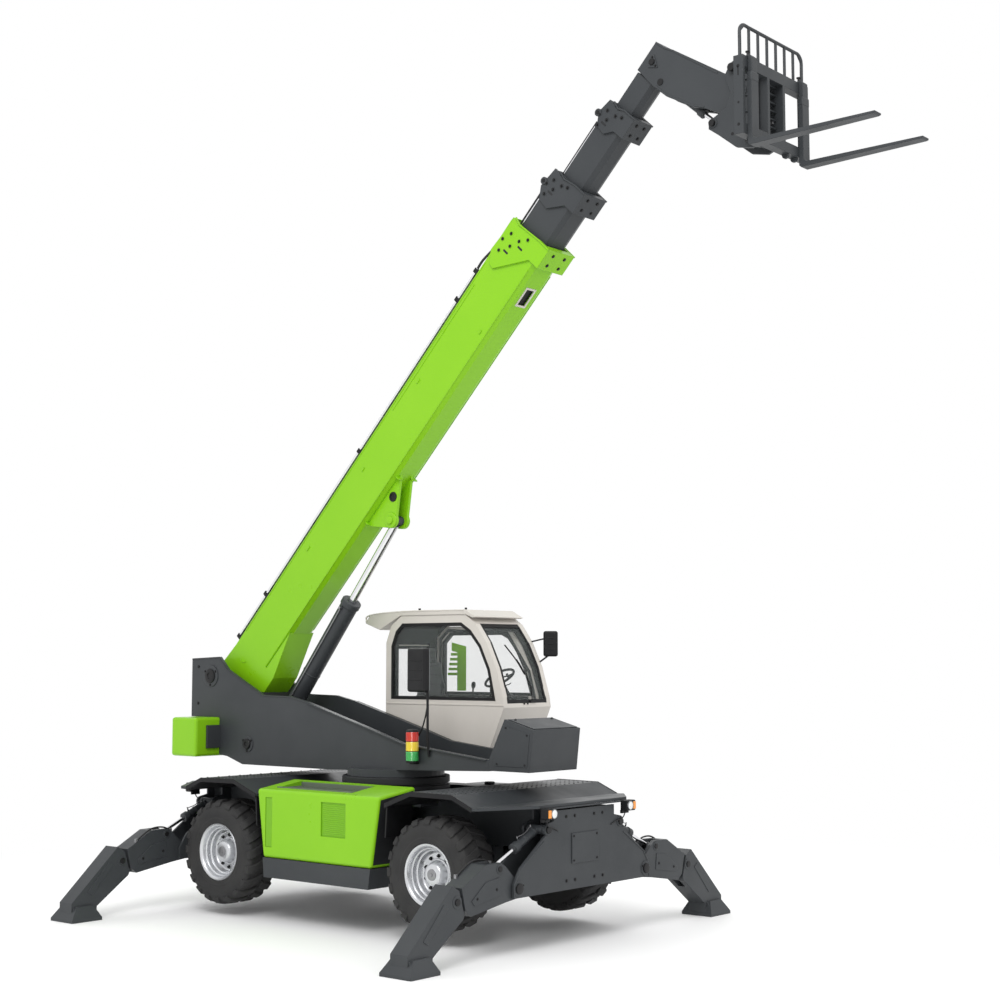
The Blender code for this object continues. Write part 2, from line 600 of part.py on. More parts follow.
def cab_inside():
    floor = cab_side()[0][1] + cab_wall + touch
    y = (cab_y[0] + cab_y[1]) / 2
    seat = box("cab_seat", (-0.22, 0.22), (y - 0.24, y + 0.24), (2.10, 2.22), turret, cloth)
    stand = box("cab_seat_stand", (-0.18, 0.16), (y - 0.20, y + 0.20), (floor, 2.12), turret)
    back = prism("cab_seat_back", [(-0.30, 2.16), (-0.16, 2.16), (-0.27, 2.80), (-0.37, 2.80)], "y", y - 0.22,
                 y + 0.22, turret)
    head = box("cab_seat_head", (-0.38, -0.28), (y - 0.13, y + 0.13), (2.76, 2.95), turret)
    rests = [box(f"cab_seat_arm_{side}", (-0.24, 0.20), sorted((y + side * 0.235, y + side * 0.30)), (2.36, 2.42),
                 turret) for side in (-1, 1)]
    links = [box(f"cab_seat_link_{side}", (-0.24, -0.18), sorted((y + side * 0.21, y + side * 0.29)), (2.16, 2.40),
                 turret) for side in (-1, 1)]
    add(seat, stand, back, head, *rests, *links)

    column = prism("cab_console", [(0.60, floor), (0.88, floor), (0.96, 2.20), (0.90, 2.42), (0.80, 2.46),
                                   (0.70, 2.30)], "y", y - 0.17, y + 0.17, turret, dark)
    centre = Vector((0.78, y, 2.62))
    lean = Vector((-0.55, 0, 0.84)).normalized()
    post = rod("cab_steering_post", centre - lean * 0.30, centre, 0.03, turret, segments=16)
    ring = lathe("cab_steering_wheel", [(0.175 + px, pz) for px, pz in arc((0, 0), 0.014, 0, 315, 7)],
                 centre, centre + lean, turret, segments=28)
    side_way = lean.cross(Vector((0, 1, 0)))
    spokes = [rod(f"cab_steering_spoke_{i}", centre - way * 0.175, centre + way * 0.175, 0.010, turret, segments=10)
              for i, way in enumerate((Vector((0, 1, 0)), side_way))]
    add(column, post, ring, *spokes)


cab()
cab_inside()


# ---------------------------------------------------------------- boom

boom = frame("boom_axis", turret, (boom_pivot[0], 0, boom_pivot[1]), -boom_angle)


def tube_outline(tube, inset=0.0):
    """The boom's section, (y, z): square above, with its lower corners folded."""
    half, low, high = tube[:3]
    h, lo, hi, fold = half - inset, low + inset, high - inset, 0.03
    return [(-h, hi), (h, hi), (h, lo + fold), (h - 2 * fold, lo), (-h + 2 * fold, lo), (-h, lo + fold)]


def wear_pads(label, holder, outer, inner, x_low, x_high, owner):
    """Blocks on the inside of a tube's mouth that guide the next section."""
    half, low, high, wall = outer[0], outer[1], outer[2], outer[5]
    pads = []
    for side in (-1, 1):
        y = sorted((side * (inner[0] + slide_gap), side * (half - wall / 2)))
        height = (inner[1] + 0.08, inner[2] - 0.05)
        pads.append(box(f"{label}_side_pad_{side}", (x_low, x_high), y, height, holder))
    span = (-inner[0] + 0.07, inner[0] - 0.07)
    pads.append(box(label + "_low_pad", (x_low, x_high), span, (low + wall / 2, inner[1] - slide_gap), holder))
    pads.append(box(label + "_top_pad", (x_low, x_high), span, (inner[2] + slide_gap, high - wall / 2), holder))
    return add(owner, *pads)


def collar(label, holder, tube, x_front, length, rise, owner, drop=0.065):
    """The stiffened mouth of a section: a shaped plate on each side, a strap above and a box below."""
    half, low, high = tube[:3]
    rear = x_front - length
    outline = [(rear + 0.02, high + rise - 0.08), (rear + 0.14, high + rise), (x_front - 0.02, high + rise - 0.04),
               (x_front - 0.05, high - 0.15), (x_front, low + 0.10), (x_front, low - drop), (x_front - 0.24, low - drop),
               (x_front - 0.24, low + 0.08), (rear, high - 0.16)]
    parts = []
    for side in (-1, 1):
        y = sorted((side * (half - 0.004), side * (half + 0.025)))
        parts.append(prism(f"{label}_collar_{side}", outline, "y", *y, holder))
    parts.append(box(label + "_collar_box", (x_front - 0.24, x_front), (-half - 0.01, half + 0.01),
                     (low - drop, low + 0.004), holder))
    parts.append(box(label + "_collar_strap", (rear + 0.16, x_front - 0.06), (-half - 0.01, half + 0.01),
                     (high - 0.004, high + rise - 0.045), holder))
    return add(owner, *parts)


def tube(name, holder, section, material):
    x_low, x_high, wall = section[3:]
    body = prism(name, tube_outline(section), "x", x_low, x_high, holder, material)
    return body, prism(name + "_bore", tube_outline(section, wall), "x", x_low - 0.1, x_high + 0.1, holder)


def boom_base():
    half, low, high = base_tube[:3]
    body, hollow = tube("boom_base", boom, base_tube, green)
    cut(body, hollow)
    heel = [*arc((0, 0), 0.14, 100, 250, 6), (0.37, -0.66), (0.60, -0.655), (1.18, low + 0.004), (0.60, low + 0.004),
            (0.60, high - 0.004), (0.42, high)]
    root = prism("boom_heel", heel, "y", -half, half, boom)
    reach = turret_half - turret_plate - clear
    boss = pin("boom_boss", (0, 0), -reach, reach, 0.12, boom)
    bore = pin("boom_pin_bore", (0, 0), -reach - 0.1, reach + 0.1, 0.07 + slide_gap, boom)
    ears = []
    for side in (-1, 1):
        tip = [(lift_eye[0] - z, lift_eye[1] + x) for x, z in arc((0, 0), 0.09, 120, 250, 6)[::-1]]
        outline = [(2.85, low + 0.004), (3.62, low + 0.004), *tip]
        ears.append(prism(f"boom_ear_{side}", outline, "y", *sorted((side * 0.07, side * 0.105)), boom))
        reach_in = sorted((side * 0.09, side * 0.0608))
        ears.append(pin(f"boom_ear_stub_{side}", lift_eye, *reach_in, 0.04, boom, segments=20))
    add(body, root, boss, *ears)
    cut(body, bore)
    collar("boom_base", boom, base_tube, 6.735, 0.60, 0.0, body, 0.075)
    wear_pads("boom_base", boom, base_tube, second_tube, base_end - 0.14, base_end - 0.02, body)
    rise = high + 0.035
    saddles = [box(f"boom_saddle_{x}", (x, x + 0.08), (-0.15, -0.09), (high - 0.004, rise - 0.018 - touch), boom)
               for x in (0.55, 2.3, 4.1, 5.85)]
    add(body, *saddles)
    rod("boom_service_tube", (0.45, -0.12, rise), (6.0, -0.12, rise), 0.018, boom, chrome, 16)
    hatch = box("boom_hatch", (6.0, 6.2), (-0.06, 0.06), (low - 0.05, low + 0.05), boom)
    cut(body, hatch)


boom_base()
second = frame("boom_second_axis", boom)
body, bore = tube("boom_section_2", second, second_tube, grey)
cut(body, bore)
collar("boom_section_2", second, second_tube, 7.42, 0.40, 0.07, body)
wear_pads("boom_section_2", second, second_tube, third_tube, 7.26, 7.38, body)

third = frame("boom_third_axis", second)
body, bore = tube("boom_section_3", third, third_tube, grey)
cut(body, bore)
collar("boom_section_3", third, third_tube, 8.33, 0.33, 0.05, body)
wear_pads("boom_section_3", third, third_tube, fourth_tube, 8.17, 8.29, body)

fourth = frame("boom_fourth_axis", third)
section_4, bore = tube("boom_section_4", fourth, fourth_tube, grey)
cut(section_4, bore)

hydraulic("lift", lift_base, (boom_pivot[0] + lift_eye[0] * cos(boom_angle) - lift_eye[1] * sin(boom_angle),
                              boom_pivot[1] + lift_eye[0] * sin(boom_angle) + lift_eye[1] * cos(boom_angle)),
          turret, grey, (0.105, 2.12, 0.10, lift_lug), (0.048, 2.30, 0.052, 0.12))


# ---------------------------------------------------------------- nose and forks

def level(parent, at):
    """A frame on the boom that stands level, with its origin at this (x, z) of the machine."""
    dx, dz = at[0] - boom_pivot[0], at[1] - boom_pivot[1]
    along = dx * cos(boom_angle) + dz * sin(boom_angle)
    above = -dx * sin(boom_angle) + dz * cos(boom_angle)
    return frame(f"level_{at[0]:.2f}", parent, (along, 0, above), boom_angle)


def nose(owner):
    """The goose-neck welded to the last section."""
    at = level(fourth, nose_start)
    end = arc(tilt_pivot, 0.095, 50, -100, 8)
    outline = [nose_start, (3.672, 9.03), (3.781, 8.945), (3.876, 8.897), *end, (4.44, 8.12), (4.234, 8.222),
               (4.09, 8.265), (3.92, 8.364), (3.791, 8.436), (3.644, 8.563)]
    local = [(x - nose_start[0], z - nose_start[1]) for x, z in outline]
    body = prism("boom_nose", local, "y", -nose_half, nose_half, at)
    slot = [(3.60, 8.66), (3.72, 8.72), (4.20, 8.38), (4.53, 8.14), (4.40, 7.9), (3.60, 8.2)]
    flat = [(x - nose_start[0], z - nose_start[1]) for x, z in slot]
    cut(body, prism("nose_slot", flat, "y", -0.07, 0.07, at))
    base = (tilt_base[0] - nose_start[0], tilt_base[1] - nose_start[1])
    stubs = [pin(f"nose_stub_{side}", base, *sorted((side * 0.08, side * (0.05 + touch))), 0.025, at, segments=16)
             for side in (-1, 1)]
    pivot = (tilt_pivot[0] - nose_start[0], tilt_pivot[1] - nose_start[1])
    add(owner, cut(add(body, *stubs), pin("nose_bore", pivot, -0.2, 0.2, 0.036, at, segments=20)))
    hydraulic("tilt", base, (tilt_eye[0] - nose_start[0], tilt_eye[1] - nose_start[1]), at, grey,
              (0.040, 0.60, 0.03, 0.10), (0.022, 0.62, 0.040, 0.08))
    return at


nose_frame = nose(section_4)
carriage = frame("carriage_axis", nose_frame, (tilt_pivot[0] - nose_start[0], 0, tilt_pivot[1] - nose_start[1]))


def at_carriage(outline):
    return [(x - tilt_pivot[0], z - tilt_pivot[1]) for x, z in outline]


def fork_carriage():
    """Coupler plates astride the nose, a welded frame for the forks, and the load guard above it."""
    inner, outer = nose_half + clear, nose_half + clear + 0.03
    plate = at_carriage([(4.50, 8.48), (4.56, 8.58), (4.66, 8.64), (4.74, 8.62), (4.90, 8.45), (4.90, 7.74),
                         (4.80, 7.70), (4.62, 7.74), (4.42, 7.90), (4.31, 7.98), (4.31, 8.06), (4.38, 8.09),
                         (4.52, 8.16), (4.56, 8.30)])
    back, front = 4.88 - tilt_pivot[0], carriage_front - 0.02 - tilt_pivot[0]
    floor, ceiling = fork_base + 0.10 - tilt_pivot[1], 8.454 - tilt_pivot[1]
    body = prism("fork_carriage", plate, "y", -outer, -inner, carriage, grey)
    parts = [prism("carriage_left_plate", plate, "y", inner, outer, carriage)]
    parts.append(box("carriage_top_bar", (back, front), (-carriage_half, carriage_half),
                     (ceiling - 0.11, ceiling), carriage))
    parts.append(box("carriage_low_bar", (back, front), (-carriage_half, carriage_half), (floor, floor + 0.10),
                     carriage))
    for i, y in enumerate((-carriage_half + 0.02, -0.142, 0.142, carriage_half - 0.02)):
        parts.append(box(f"carriage_post_{i}", (back, front), (y - 0.02, y + 0.02), (floor + 0.05, ceiling - 0.05),
                         carriage))
    parts.append(pin("carriage_pivot_pin", (0, 0), -outer + 0.002, outer - 0.002, 0.035, carriage, segments=20))
    for side in (-1, 1):
        parts.append(pin(f"carriage_hook_bar_{side}", (4.60 - tilt_pivot[0], 8.53 - tilt_pivot[1]),
                         *sorted((side * (inner + 0.01), side * (outer + 0.04))), 0.03, carriage, segments=16))
    parts.append(pin("carriage_lock_bar", (4.78 - tilt_pivot[0], 7.79 - tilt_pivot[1]), -outer - 0.02, outer + 0.02,
                     0.035, carriage, segments=20))
    eye = at_carriage([tilt_eye])[0]
    for side in (-1, 1):
        parts.append(pin(f"carriage_eye_stub_{side}", eye, *sorted((side * (inner + 0.01), side * 0.047)), 0.02,
                         carriage, segments=16))
    guard_x = (back + front) / 2
    guard_top, guard_half, bars = 8.774 - tilt_pivot[1], 0.57, 8
    for i in range(bars):
        y = -guard_half + 2 * guard_half * i / (bars - 1)
        lower = guard_top - (0.07 if i in (0, bars - 1) else 0)
        parts.append(rod(f"guard_bar_{i}", (guard_x, y, ceiling - 0.05), (guard_x, y, lower), 0.011, carriage,
                         segments=8))
    parts.append(rod("guard_rail", (guard_x, -guard_half + 0.07, guard_top), (guard_x, guard_half - 0.07, guard_top),
                     0.013, carriage, segments=8))
    for side in (-1, 1):
        parts.append(rod(f"guard_corner_{side}", (guard_x, side * guard_half, guard_top - 0.075),
                         (guard_x, side * (guard_half - 0.078), guard_top + 0.002), 0.0125, carriage, segments=8))
    add(body, *parts)


def fork(name, side):
    y = (side * fork_y - fork_width / 2, side * fork_y + fork_width / 2)
    back, front = carriage_front - 0.02 + touch, carriage_front + 0.03
    heel = fork_base
    outline = [(back, heel + 0.02), (back + 0.02, heel), (fork_tip - 0.02, heel + 0.028), (fork_tip, heel + 0.035),
               (fork_tip, heel + 0.05), (front + 0.03, heel + 0.05), (front, heel + 0.08), (front, 8.30),
               (back, 8.30)]
    prism(name, at_carriage(outline), "y", *y, carriage, grey)


fork_carriage()
for side_name, side in (("left", 1), ("right", -1)):
    fork("fork_" + side_name, side)
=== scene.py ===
import json
from math import cos, pi, radians, sin

import bmesh
import bpy
from mathutils import Matrix, Vector


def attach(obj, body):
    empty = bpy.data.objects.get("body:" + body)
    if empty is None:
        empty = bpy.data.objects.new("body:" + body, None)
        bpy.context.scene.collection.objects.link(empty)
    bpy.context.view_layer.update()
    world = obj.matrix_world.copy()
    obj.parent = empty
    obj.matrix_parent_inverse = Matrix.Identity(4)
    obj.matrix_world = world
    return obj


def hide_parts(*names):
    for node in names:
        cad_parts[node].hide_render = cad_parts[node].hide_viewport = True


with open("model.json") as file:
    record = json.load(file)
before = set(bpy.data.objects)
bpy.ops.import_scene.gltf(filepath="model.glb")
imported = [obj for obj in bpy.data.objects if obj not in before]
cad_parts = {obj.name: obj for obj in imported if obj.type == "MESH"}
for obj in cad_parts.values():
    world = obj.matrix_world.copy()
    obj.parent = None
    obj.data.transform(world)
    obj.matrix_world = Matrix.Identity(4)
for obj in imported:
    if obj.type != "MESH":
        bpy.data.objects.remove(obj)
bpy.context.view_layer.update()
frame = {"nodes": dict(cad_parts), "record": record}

# Places are counted from the turret's turning axis, at floor level: x forward, y to the left, z up.
slewX = -1.605
boomAngle = radians(46)
boomPivot = (-2.72, 2.63)
machineAxes = Matrix.Translation((slewX, 0, 0))
boomAxes = Matrix.Translation((slewX + boomPivot[0], 0, boomPivot[1])) @ Matrix.Rotation(-boomAngle, 4, "Y")
corners = [(end, side) for end in ("front", "rear") for side in ("left", "right")]
way = {"front": 1, "rear": -1, "left": 1, "right": -1}


# Materials: every coat gets grain, uneven gloss and soft dust, read from the object's own place.

def newMaterial(name, colour, roughness=0.5, metallic=0.0, **sockets):
    material = bpy.data.materials.new(name)
    material.use_nodes = True
    shader = material.node_tree.nodes["Principled BSDF"]
    shader.inputs["Base Color"].default_value = (*colour, 1)
    shader.inputs["Roughness"].default_value = roughness
    shader.inputs["Metallic"].default_value = metallic
    for socket, value in sockets.items():
        shader.inputs[socket.replace("_", " ")].default_value = value
    material.diffuse_color = (*colour, 1)
    return material


def nodeOf(material, kind):
    return material.node_tree.nodes.new(kind)


def shaderOf(material):
    return material.node_tree.nodes["Principled BSDF"]


def noise(material, scale, detail=4.0, rough=0.55, stretch=(1, 1, 1)):
    link = material.node_tree.links.new
    place = nodeOf(material, "ShaderNodeTexCoord").outputs["Object"]
    mapping = nodeOf(material, "ShaderNodeMapping")
    mapping.inputs["Scale"].default_value = stretch
    texture = nodeOf(material, "ShaderNodeTexNoise")
    texture.inputs["Scale"].default_value = scale
    texture.inputs["Detail"].default_value = detail
    texture.inputs["Roughness"].default_value = rough
    link(place, mapping.inputs["Vector"])
    link(mapping.outputs["Vector"], texture.inputs["Vector"])
    return texture.outputs["Fac"]


def ramp(material, source, stops):
    node = nodeOf(material, "ShaderNodeValToRGB")
    elements = node.color_ramp.elements
    while len(elements) < len(stops):
        elements.new(0.5)
    for element, (position, value) in zip(elements, stops):
        element.position = position
        element.color = (*value, 1) if isinstance(value, tuple) else (value, value, value, 1)
    material.node_tree.links.new(source, node.inputs["Fac"])
    return node.outputs["Color"]


def mixed(material, amount, first, second):
    # first where amount is 0, second where it is 1
    node = nodeOf(material, "ShaderNodeMix")
    node.data_type = "RGBA"
    link = material.node_tree.links.new
    link(amount, node.inputs["Factor"])
    for socket, value in (("A", first), ("B", second)):
        target = [s for s in node.inputs if s.name == socket and s.type == "RGBA"][0]
        if isinstance(value, tuple):
            target.default_value = (*value, 1)
        else:
            link(value, target)
    return [s for s in node.outputs if s.type == "RGBA"][0]


def grain(material, scale, depth, strength=0.3, edge=0.0, stretch=(1, 1, 1), detail=2.0):
    # fine relief, on corners that look rounded by edge
    link = material.node_tree.links.new
    bump = nodeOf(material, "ShaderNodeBump")
    bump.inputs["Strength"].default_value = strength
    bump.inputs["Distance"].default_value = depth
    link(noise(material, scale, detail, stretch=stretch), bump.inputs["Height"])
    if edge:
        rounding = nodeOf(material, "ShaderNodeBevel")
        rounding.samples = 6
        rounding.inputs["Radius"].default_value = edge
        link(rounding.outputs["Normal"], bump.inputs["Normal"])
    link(bump.outputs["Normal"], shaderOf(material).inputs["Normal"])


def uneven(material, low, high, scale=3.2):
    gloss = ramp(material, noise(material, scale, 5.0), [(0.3, low), (0.7, high)])
    material.node_tree.links.new(gloss, shaderOf(material).inputs["Roughness"])


def sprayedPaint(name, colour, dusty, roughness, edge=0.006, dustLow=0.55):
    material = newMaterial(name, colour, roughness, Specular_IOR_Level=0.32)
    link = material.node_tree.links.new
    broad = ramp(material, noise(material, 1.1, 6.0, 0.6), [(0.35, colour), (0.75, dusty)])
    specks = ramp(material, noise(material, 34.0, 6.0, 0.7), [(dustLow + 0.10, 0.0), (dustLow + 0.30, 0.35)])
    worn = tuple(min(1.0, c * 1.5 + 0.03) for c in dusty)
    link(mixed(material, specks, broad, worn), shaderOf(material).inputs["Base Color"])
    uneven(material, roughness - 0.06, roughness + 0.08)
    grain(material, 260.0, 0.0006, 0.05, edge)
    return material


charcoalPaint = sprayedPaint("charcoal_paint_coat", (0.036, 0.040, 0.044), (0.046, 0.050, 0.054), 0.45, 0.008)
limePaint = sprayedPaint("lime_paint_coat", (0.222, 0.530, 0.006), (0.240, 0.550, 0.009), 0.33, 0.010, 0.62)
# a darker copy of the lime paint, laid in the engine cover's vent and stripe recesses: painted shade
shadedLime = sprayedPaint("lime_painted_shade_coat", (0.165, 0.420, 0.008), (0.185, 0.445, 0.012), 0.45, 0.004)
darkPaint = sprayedPaint("dark_paint_coat", (0.017, 0.018, 0.020), (0.026, 0.027, 0.029), 0.55, 0.005)
creamPaint = sprayedPaint("cream_cab_coat", (0.60, 0.565, 0.52), (0.66, 0.625, 0.58), 0.36, 0.012)
wheelSilver = sprayedPaint("wheel_silver_coat", (0.60, 0.61, 0.63), (0.66, 0.67, 0.69), 0.30, 0.003)
shaderOf(wheelSilver).inputs["Metallic"].default_value = 0.8
greyGreen = sprayedPaint("grey_green_coat", (0.12, 0.15, 0.11), (0.16, 0.19, 0.14), 0.6, 0.003)

hardChrome = newMaterial("hard_chrome", (0.80, 0.80, 0.82), 0.14, 1.0)
uneven(hardChrome, 0.10, 0.22, 9.0)
grain(hardChrome, 40.0, 0.0004, 0.05, 0.0, (1, 1, 30))

zincBolt = newMaterial("zinc_bolt", (0.30, 0.30, 0.31), 0.38, 0.9)
uneven(zincBolt, 0.30, 0.50, 30.0)
grain(zincBolt, 300.0, 0.0004, 0.2)

blackBolt = newMaterial("black_bolt", (0.02, 0.02, 0.021), 0.42, 0.6)
uneven(blackBolt, 0.34, 0.52, 30.0)
grain(blackBolt, 300.0, 0.0004, 0.2)

tyreRubber = newMaterial("tyre_rubber_black", (0.016, 0.016, 0.017), 0.8)
rubberTone = ramp(tyreRubber, noise(tyreRubber, 6.0, 8.0, 0.7), [(0.3, (0.012, 0.012, 0.013)),
                                                               (0.75, (0.034, 0.033, 0.032))])
tyreRubber.node_tree.links.new(rubberTone, shaderOf(tyreRubber).inputs["Base Color"])
uneven(tyreRubber, 0.66, 0.88, 12.0)
grain(tyreRubber, 180.0, 0.0012, 0.3, 0.004, detail=5.0)

hoseRubber = newMaterial("hose_rubber", (0.014, 0.014, 0.015), 0.6)
uneven(hoseRubber, 0.5, 0.7, 20.0)
grain(hoseRubber, 420.0, 0.0005, 0.35)

blackPlastic = newMaterial("black_plastic", (0.009, 0.009, 0.010), 0.50, Specular_IOR_Level=0.25)
uneven(blackPlastic, 0.42, 0.58, 8.0)
grain(blackPlastic, 700.0, 0.0005, 0.35, 0.003)

softTrim = newMaterial("cab_lining", (0.022, 0.022, 0.023), 0.85)
uneven(softTrim, 0.78, 0.92, 8.0)
grain(softTrim, 500.0, 0.0008, 0.4, 0.004)

seatCloth = newMaterial("seat_cloth_dark", (0.020, 0.020, 0.022), 0.95, Sheen_Weight=0.35)
clothTone = ramp(seatCloth, noise(seatCloth, 120.0, 6.0, 0.8), [(0.3, (0.012, 0.012, 0.014)),
                                                              (0.7, (0.045, 0.045, 0.050))])
seatCloth.node_tree.links.new(clothTone, shaderOf(seatCloth).inputs["Base Color"])
grain(seatCloth, 900.0, 0.0010, 0.6, detail=3.0)

cabGlass = newMaterial("cab_glass", (0.34, 0.38, 0.37), 0.04, 0.0, Alpha=0.08)
grain(cabGlass, 6.0, 0.0004, 0.02)
mirrorGlass = newMaterial("mirror_glass", (0.75, 0.78, 0.80), 0.05, 1.0)
grain(mirrorGlass, 5.0, 0.0004, 0.02)


def lensMaterial(name, colour):
    material = newMaterial(name, colour, 0.18, 0.0, Coat_Weight=0.6)
    grain(material, 70.0, 0.0015, 0.5)
    uneven(material, 0.12, 0.26, 14.0)
    return material


redLens = lensMaterial("red_lens", (0.60, 0.03, 0.02))
yellowLens = lensMaterial("yellow_lens", (0.85, 0.62, 0.04))
greenLens = lensMaterial("green_lens", (0.05, 0.42, 0.10))
orangeLens = lensMaterial("orange_lens", (0.85, 0.30, 0.03))
clearLens = lensMaterial("clear_lens", (0.80, 0.82, 0.82))

coatOf = {
    "charcoal_paint": charcoalPaint, "lime_paint": limePaint, "dark_paint": darkPaint,
    "cab_paint": creamPaint,
    "chrome": hardChrome, "silver_paint": wheelSilver, "tyre_rubber": tyreRubber, "seat_cloth": seatCloth,
}
for part in frame["record"]["subparts"]:
    node = frame["nodes"][part["node"]]
    node.data.materials.clear()
    node.data.materials.append(coatOf[part["material_slot"]])
print("materials done")


# Shapes: a Piece gathers closed solids in one set of axes and becomes one mesh that rides on a body.

def arc(centre, radius, first, last, steps):
    turns = [radians(first + (last - first) * i / steps) for i in range(steps + 1)]
    return [(centre[0] + radius * cos(t), centre[1] + radius * sin(t)) for t in turns]


def disc(radius, height, topRadius=None, topHeight=None):
    # the half section of a round plate, with a chamfer up to topRadius and topHeight where they are given
    profile = [(0, 0), (radius, 0), (radius, height)]
    if topRadius is not None:
        profile.append((topRadius, topHeight))
    return profile + [(0, profile[-1][1])]


def onFace(face, side, proud):
    # from 2 mm inside a wall's face to proud of it, lowest first
    return sorted((face - side * 0.002, face + side * proud))


def insetOutline(outline, distance):
    # moves every side of an outline inwards by distance
    n = len(outline)
    area = sum(a[0] * b[1] - b[0] * a[1] for a, b in zip(outline, outline[1:] + outline[:1]))
    turn = 1 if area > 0 else -1
    moved = []
    for i in range(n):
        before, here, after = Vector(outline[i - 1]), Vector(outline[i]), Vector(outline[(i + 1) % n])
        first = (here - before).normalized()
        second = (after - here).normalized()
        inward = Vector((-first.y, first.x)) + Vector((-second.y, second.x))
        square = max(0.35, (1 + first.dot(second)) / 2)
        moved.append(tuple(here + turn * inward * distance / 2 / square))
    return moved


def smoothPath(points, steps=6):
    # a curve that passes through every point
    line = [Vector(p) for p in points]
    line = [2 * line[0] - line[1], *line, 2 * line[-1] - line[-2]]
    path = []
    for a, b, c, d in zip(line, line[1:], line[2:], line[3:]):
        for i in range(steps):
            t = i / steps
            path.append(((2 * b) + (c - a) * t + (2 * a - 5 * b + 4 * c - d) * t ** 2
                         + (3 * b - a - 3 * c + d) * t ** 3) / 2)
    return path + [line[-2]]


placed = {"x": lambda p, w: (w, p[0], p[1]), "y": lambda p, w: (p[0], w, p[1]), "z": lambda p,
          w: (p[0], p[1], w)}


class Piece:
    def __init__(self, name, coat, axes=machineAxes):
        self.name, self.axes = name, axes
        self.points, self.faces, self.coatOfFace, self.coats = [], [], [], []
        self.use(coat)

    def use(self, coat):
        if coat not in self.coats:
            self.coats.append(coat)
        self.coat = self.coats.index(coat)
        return self

    def absorb(self, shape, edge=0.0, rounds=2):
        bmesh.ops.remove_doubles(shape, verts=shape.verts[:], dist=1e-6)
        bmesh.ops.recalc_face_normals(shape, faces=shape.faces[:])
        if edge:
            sharp = [e for e in shape.edges if e.calc_face_angle(0) > radians(28)]
            bmesh.ops.bevel(shape, geom=sharp, offset=edge, segments=rounds, profile=0.5, affect="EDGES",
                            clamp_overlap=True)
        shape.verts.index_update()
        base = len(self.points)
        self.points += [self.axes @ v.co for v in shape.verts]
        for face in shape.faces:
            self.faces.append([base + v.index for v in face.verts])
            self.coatOfFace.append(self.coat)
        shape.free()
        return self

    def solid(self, points, faces, edge=0.0, rounds=2):
        shape = bmesh.new()
        made = [shape.verts.new(p) for p in points]
        for face in faces:
            shape.faces.new([made[i] for i in face])
        return self.absorb(shape, edge, rounds)

    def prism(self, outline, axis, low, high, edge=0.0, rounds=2):
        # outline is (y, z) for x, (x, z) for y, (x, y) for z
        spot = placed[axis]
        n = len(outline)
        points = [spot(p, low) for p in outline] + [spot(p, high) for p in outline]
        sides = [(i, (i + 1) % n, (i + 1) % n + n, i + n) for i in range(n)]
        return self.solid(points, [tuple(range(n)), tuple(range(n, 2 * n)), *sides], edge, rounds)

    def box(self, x, y, z, edge=0.0, rounds=2):
        return self.prism([(x[0], z[0]), (x[1], z[0]), (x[1], z[1]), (x[0], z[1])], "y", *y, edge, rounds)

    def ring(self, outer, inner, axis, low, high, edge=0.0):
        # a flat border between two outlines with as many points
        spot = placed[axis]
        n = len(outer)
        points = [spot(p, w) for w in (low, high) for loop in (outer, inner) for p in loop]
        faces = []
        for i in range(n):
            j = (i + 1) % n
            faces += [(i, j, n + j, n + i), (2 * n + i, 2 * n + j, 3 * n + j, 3 * n + i),
                      (i, j, 2 * n + j, 2 * n + i), (n + i, n + j, 3 * n + j, 3 * n + i)]
        return self.solid(points, faces, edge)

    def turned(self, profile, start, aim, segments=48):
        # a closed (radius, along) profile turned about the line through start
        start, aim = Vector(start), Vector(aim).normalized()
        side = aim.orthogonal().normalized()
        other = aim.cross(side)
        shape = bmesh.new()
        rings = []
        for radius, along in profile:
            if radius == 0:
                rings.append([shape.verts.new(start + aim * along)] * segments)
                continue
            turns = [2 * pi * i / segments for i in range(segments)]
            rings.append([shape.verts.new(start + aim * along + radius * (side * cos(t) + other * sin(t)))
                          for t in turns])
        for a, b in zip(rings, rings[1:] + rings[:1]):
            for i in range(segments):
                j = (i + 1) % segments
                loop = list(dict.fromkeys((a[i], a[j], b[j], b[i])))
                if len(loop) > 2:
                    shape.faces.new(loop)
        return self.absorb(shape)

    def rod(self, start, end, radius, segments=32, edge=0.0):
        length = (Vector(end) - Vector(start)).length
        e = edge or radius * 0.08
        profile = [(0, 0), (radius - e, 0), (radius, e), (radius, length - e), (radius - e, length),
                   (0, length)]
        return self.turned(profile, start, Vector(end) - Vector(start), segments)

    def hexBolt(self, at, aim, radius, height):
        aim = Vector(aim).normalized()
        start = Vector(at) - aim * 0.003
        self.turned(disc(radius * 1.45, 0.006), start, aim, 20)
        top = height + 0.003
        return self.turned(disc(radius, top - 0.002, radius * 0.86, top), start,
                           aim, 6)

    def tube(self, points, radius, segments=12, steps=6):
        path = smoothPath(points, steps)
        shape = bmesh.new()
        aim = (path[1] - path[0]).normalized()
        side = aim.orthogonal().normalized()
        rings = []
        for i, here in enumerate(path):
            ahead = path[min(i + 1, len(path) - 1)] - path[max(i - 1, 0)]
            aim = ahead.normalized()
            side = (side - aim * side.dot(aim)).normalized()
            other = aim.cross(side)
            rings.append([shape.verts.new(here + radius * (side * cos(2 * pi * k / segments)
                                                           + other * sin(2 * pi * k / segments)))
                          for k in range(segments)])
        for a, b in zip(rings, rings[1:]):
            for k in range(segments):
                m = (k + 1) % segments
                shape.faces.new((a[k], a[m], b[m], b[k]))
        shape.faces.new(rings[0])
        shape.faces.new(rings[-1])
        return self.absorb(shape)

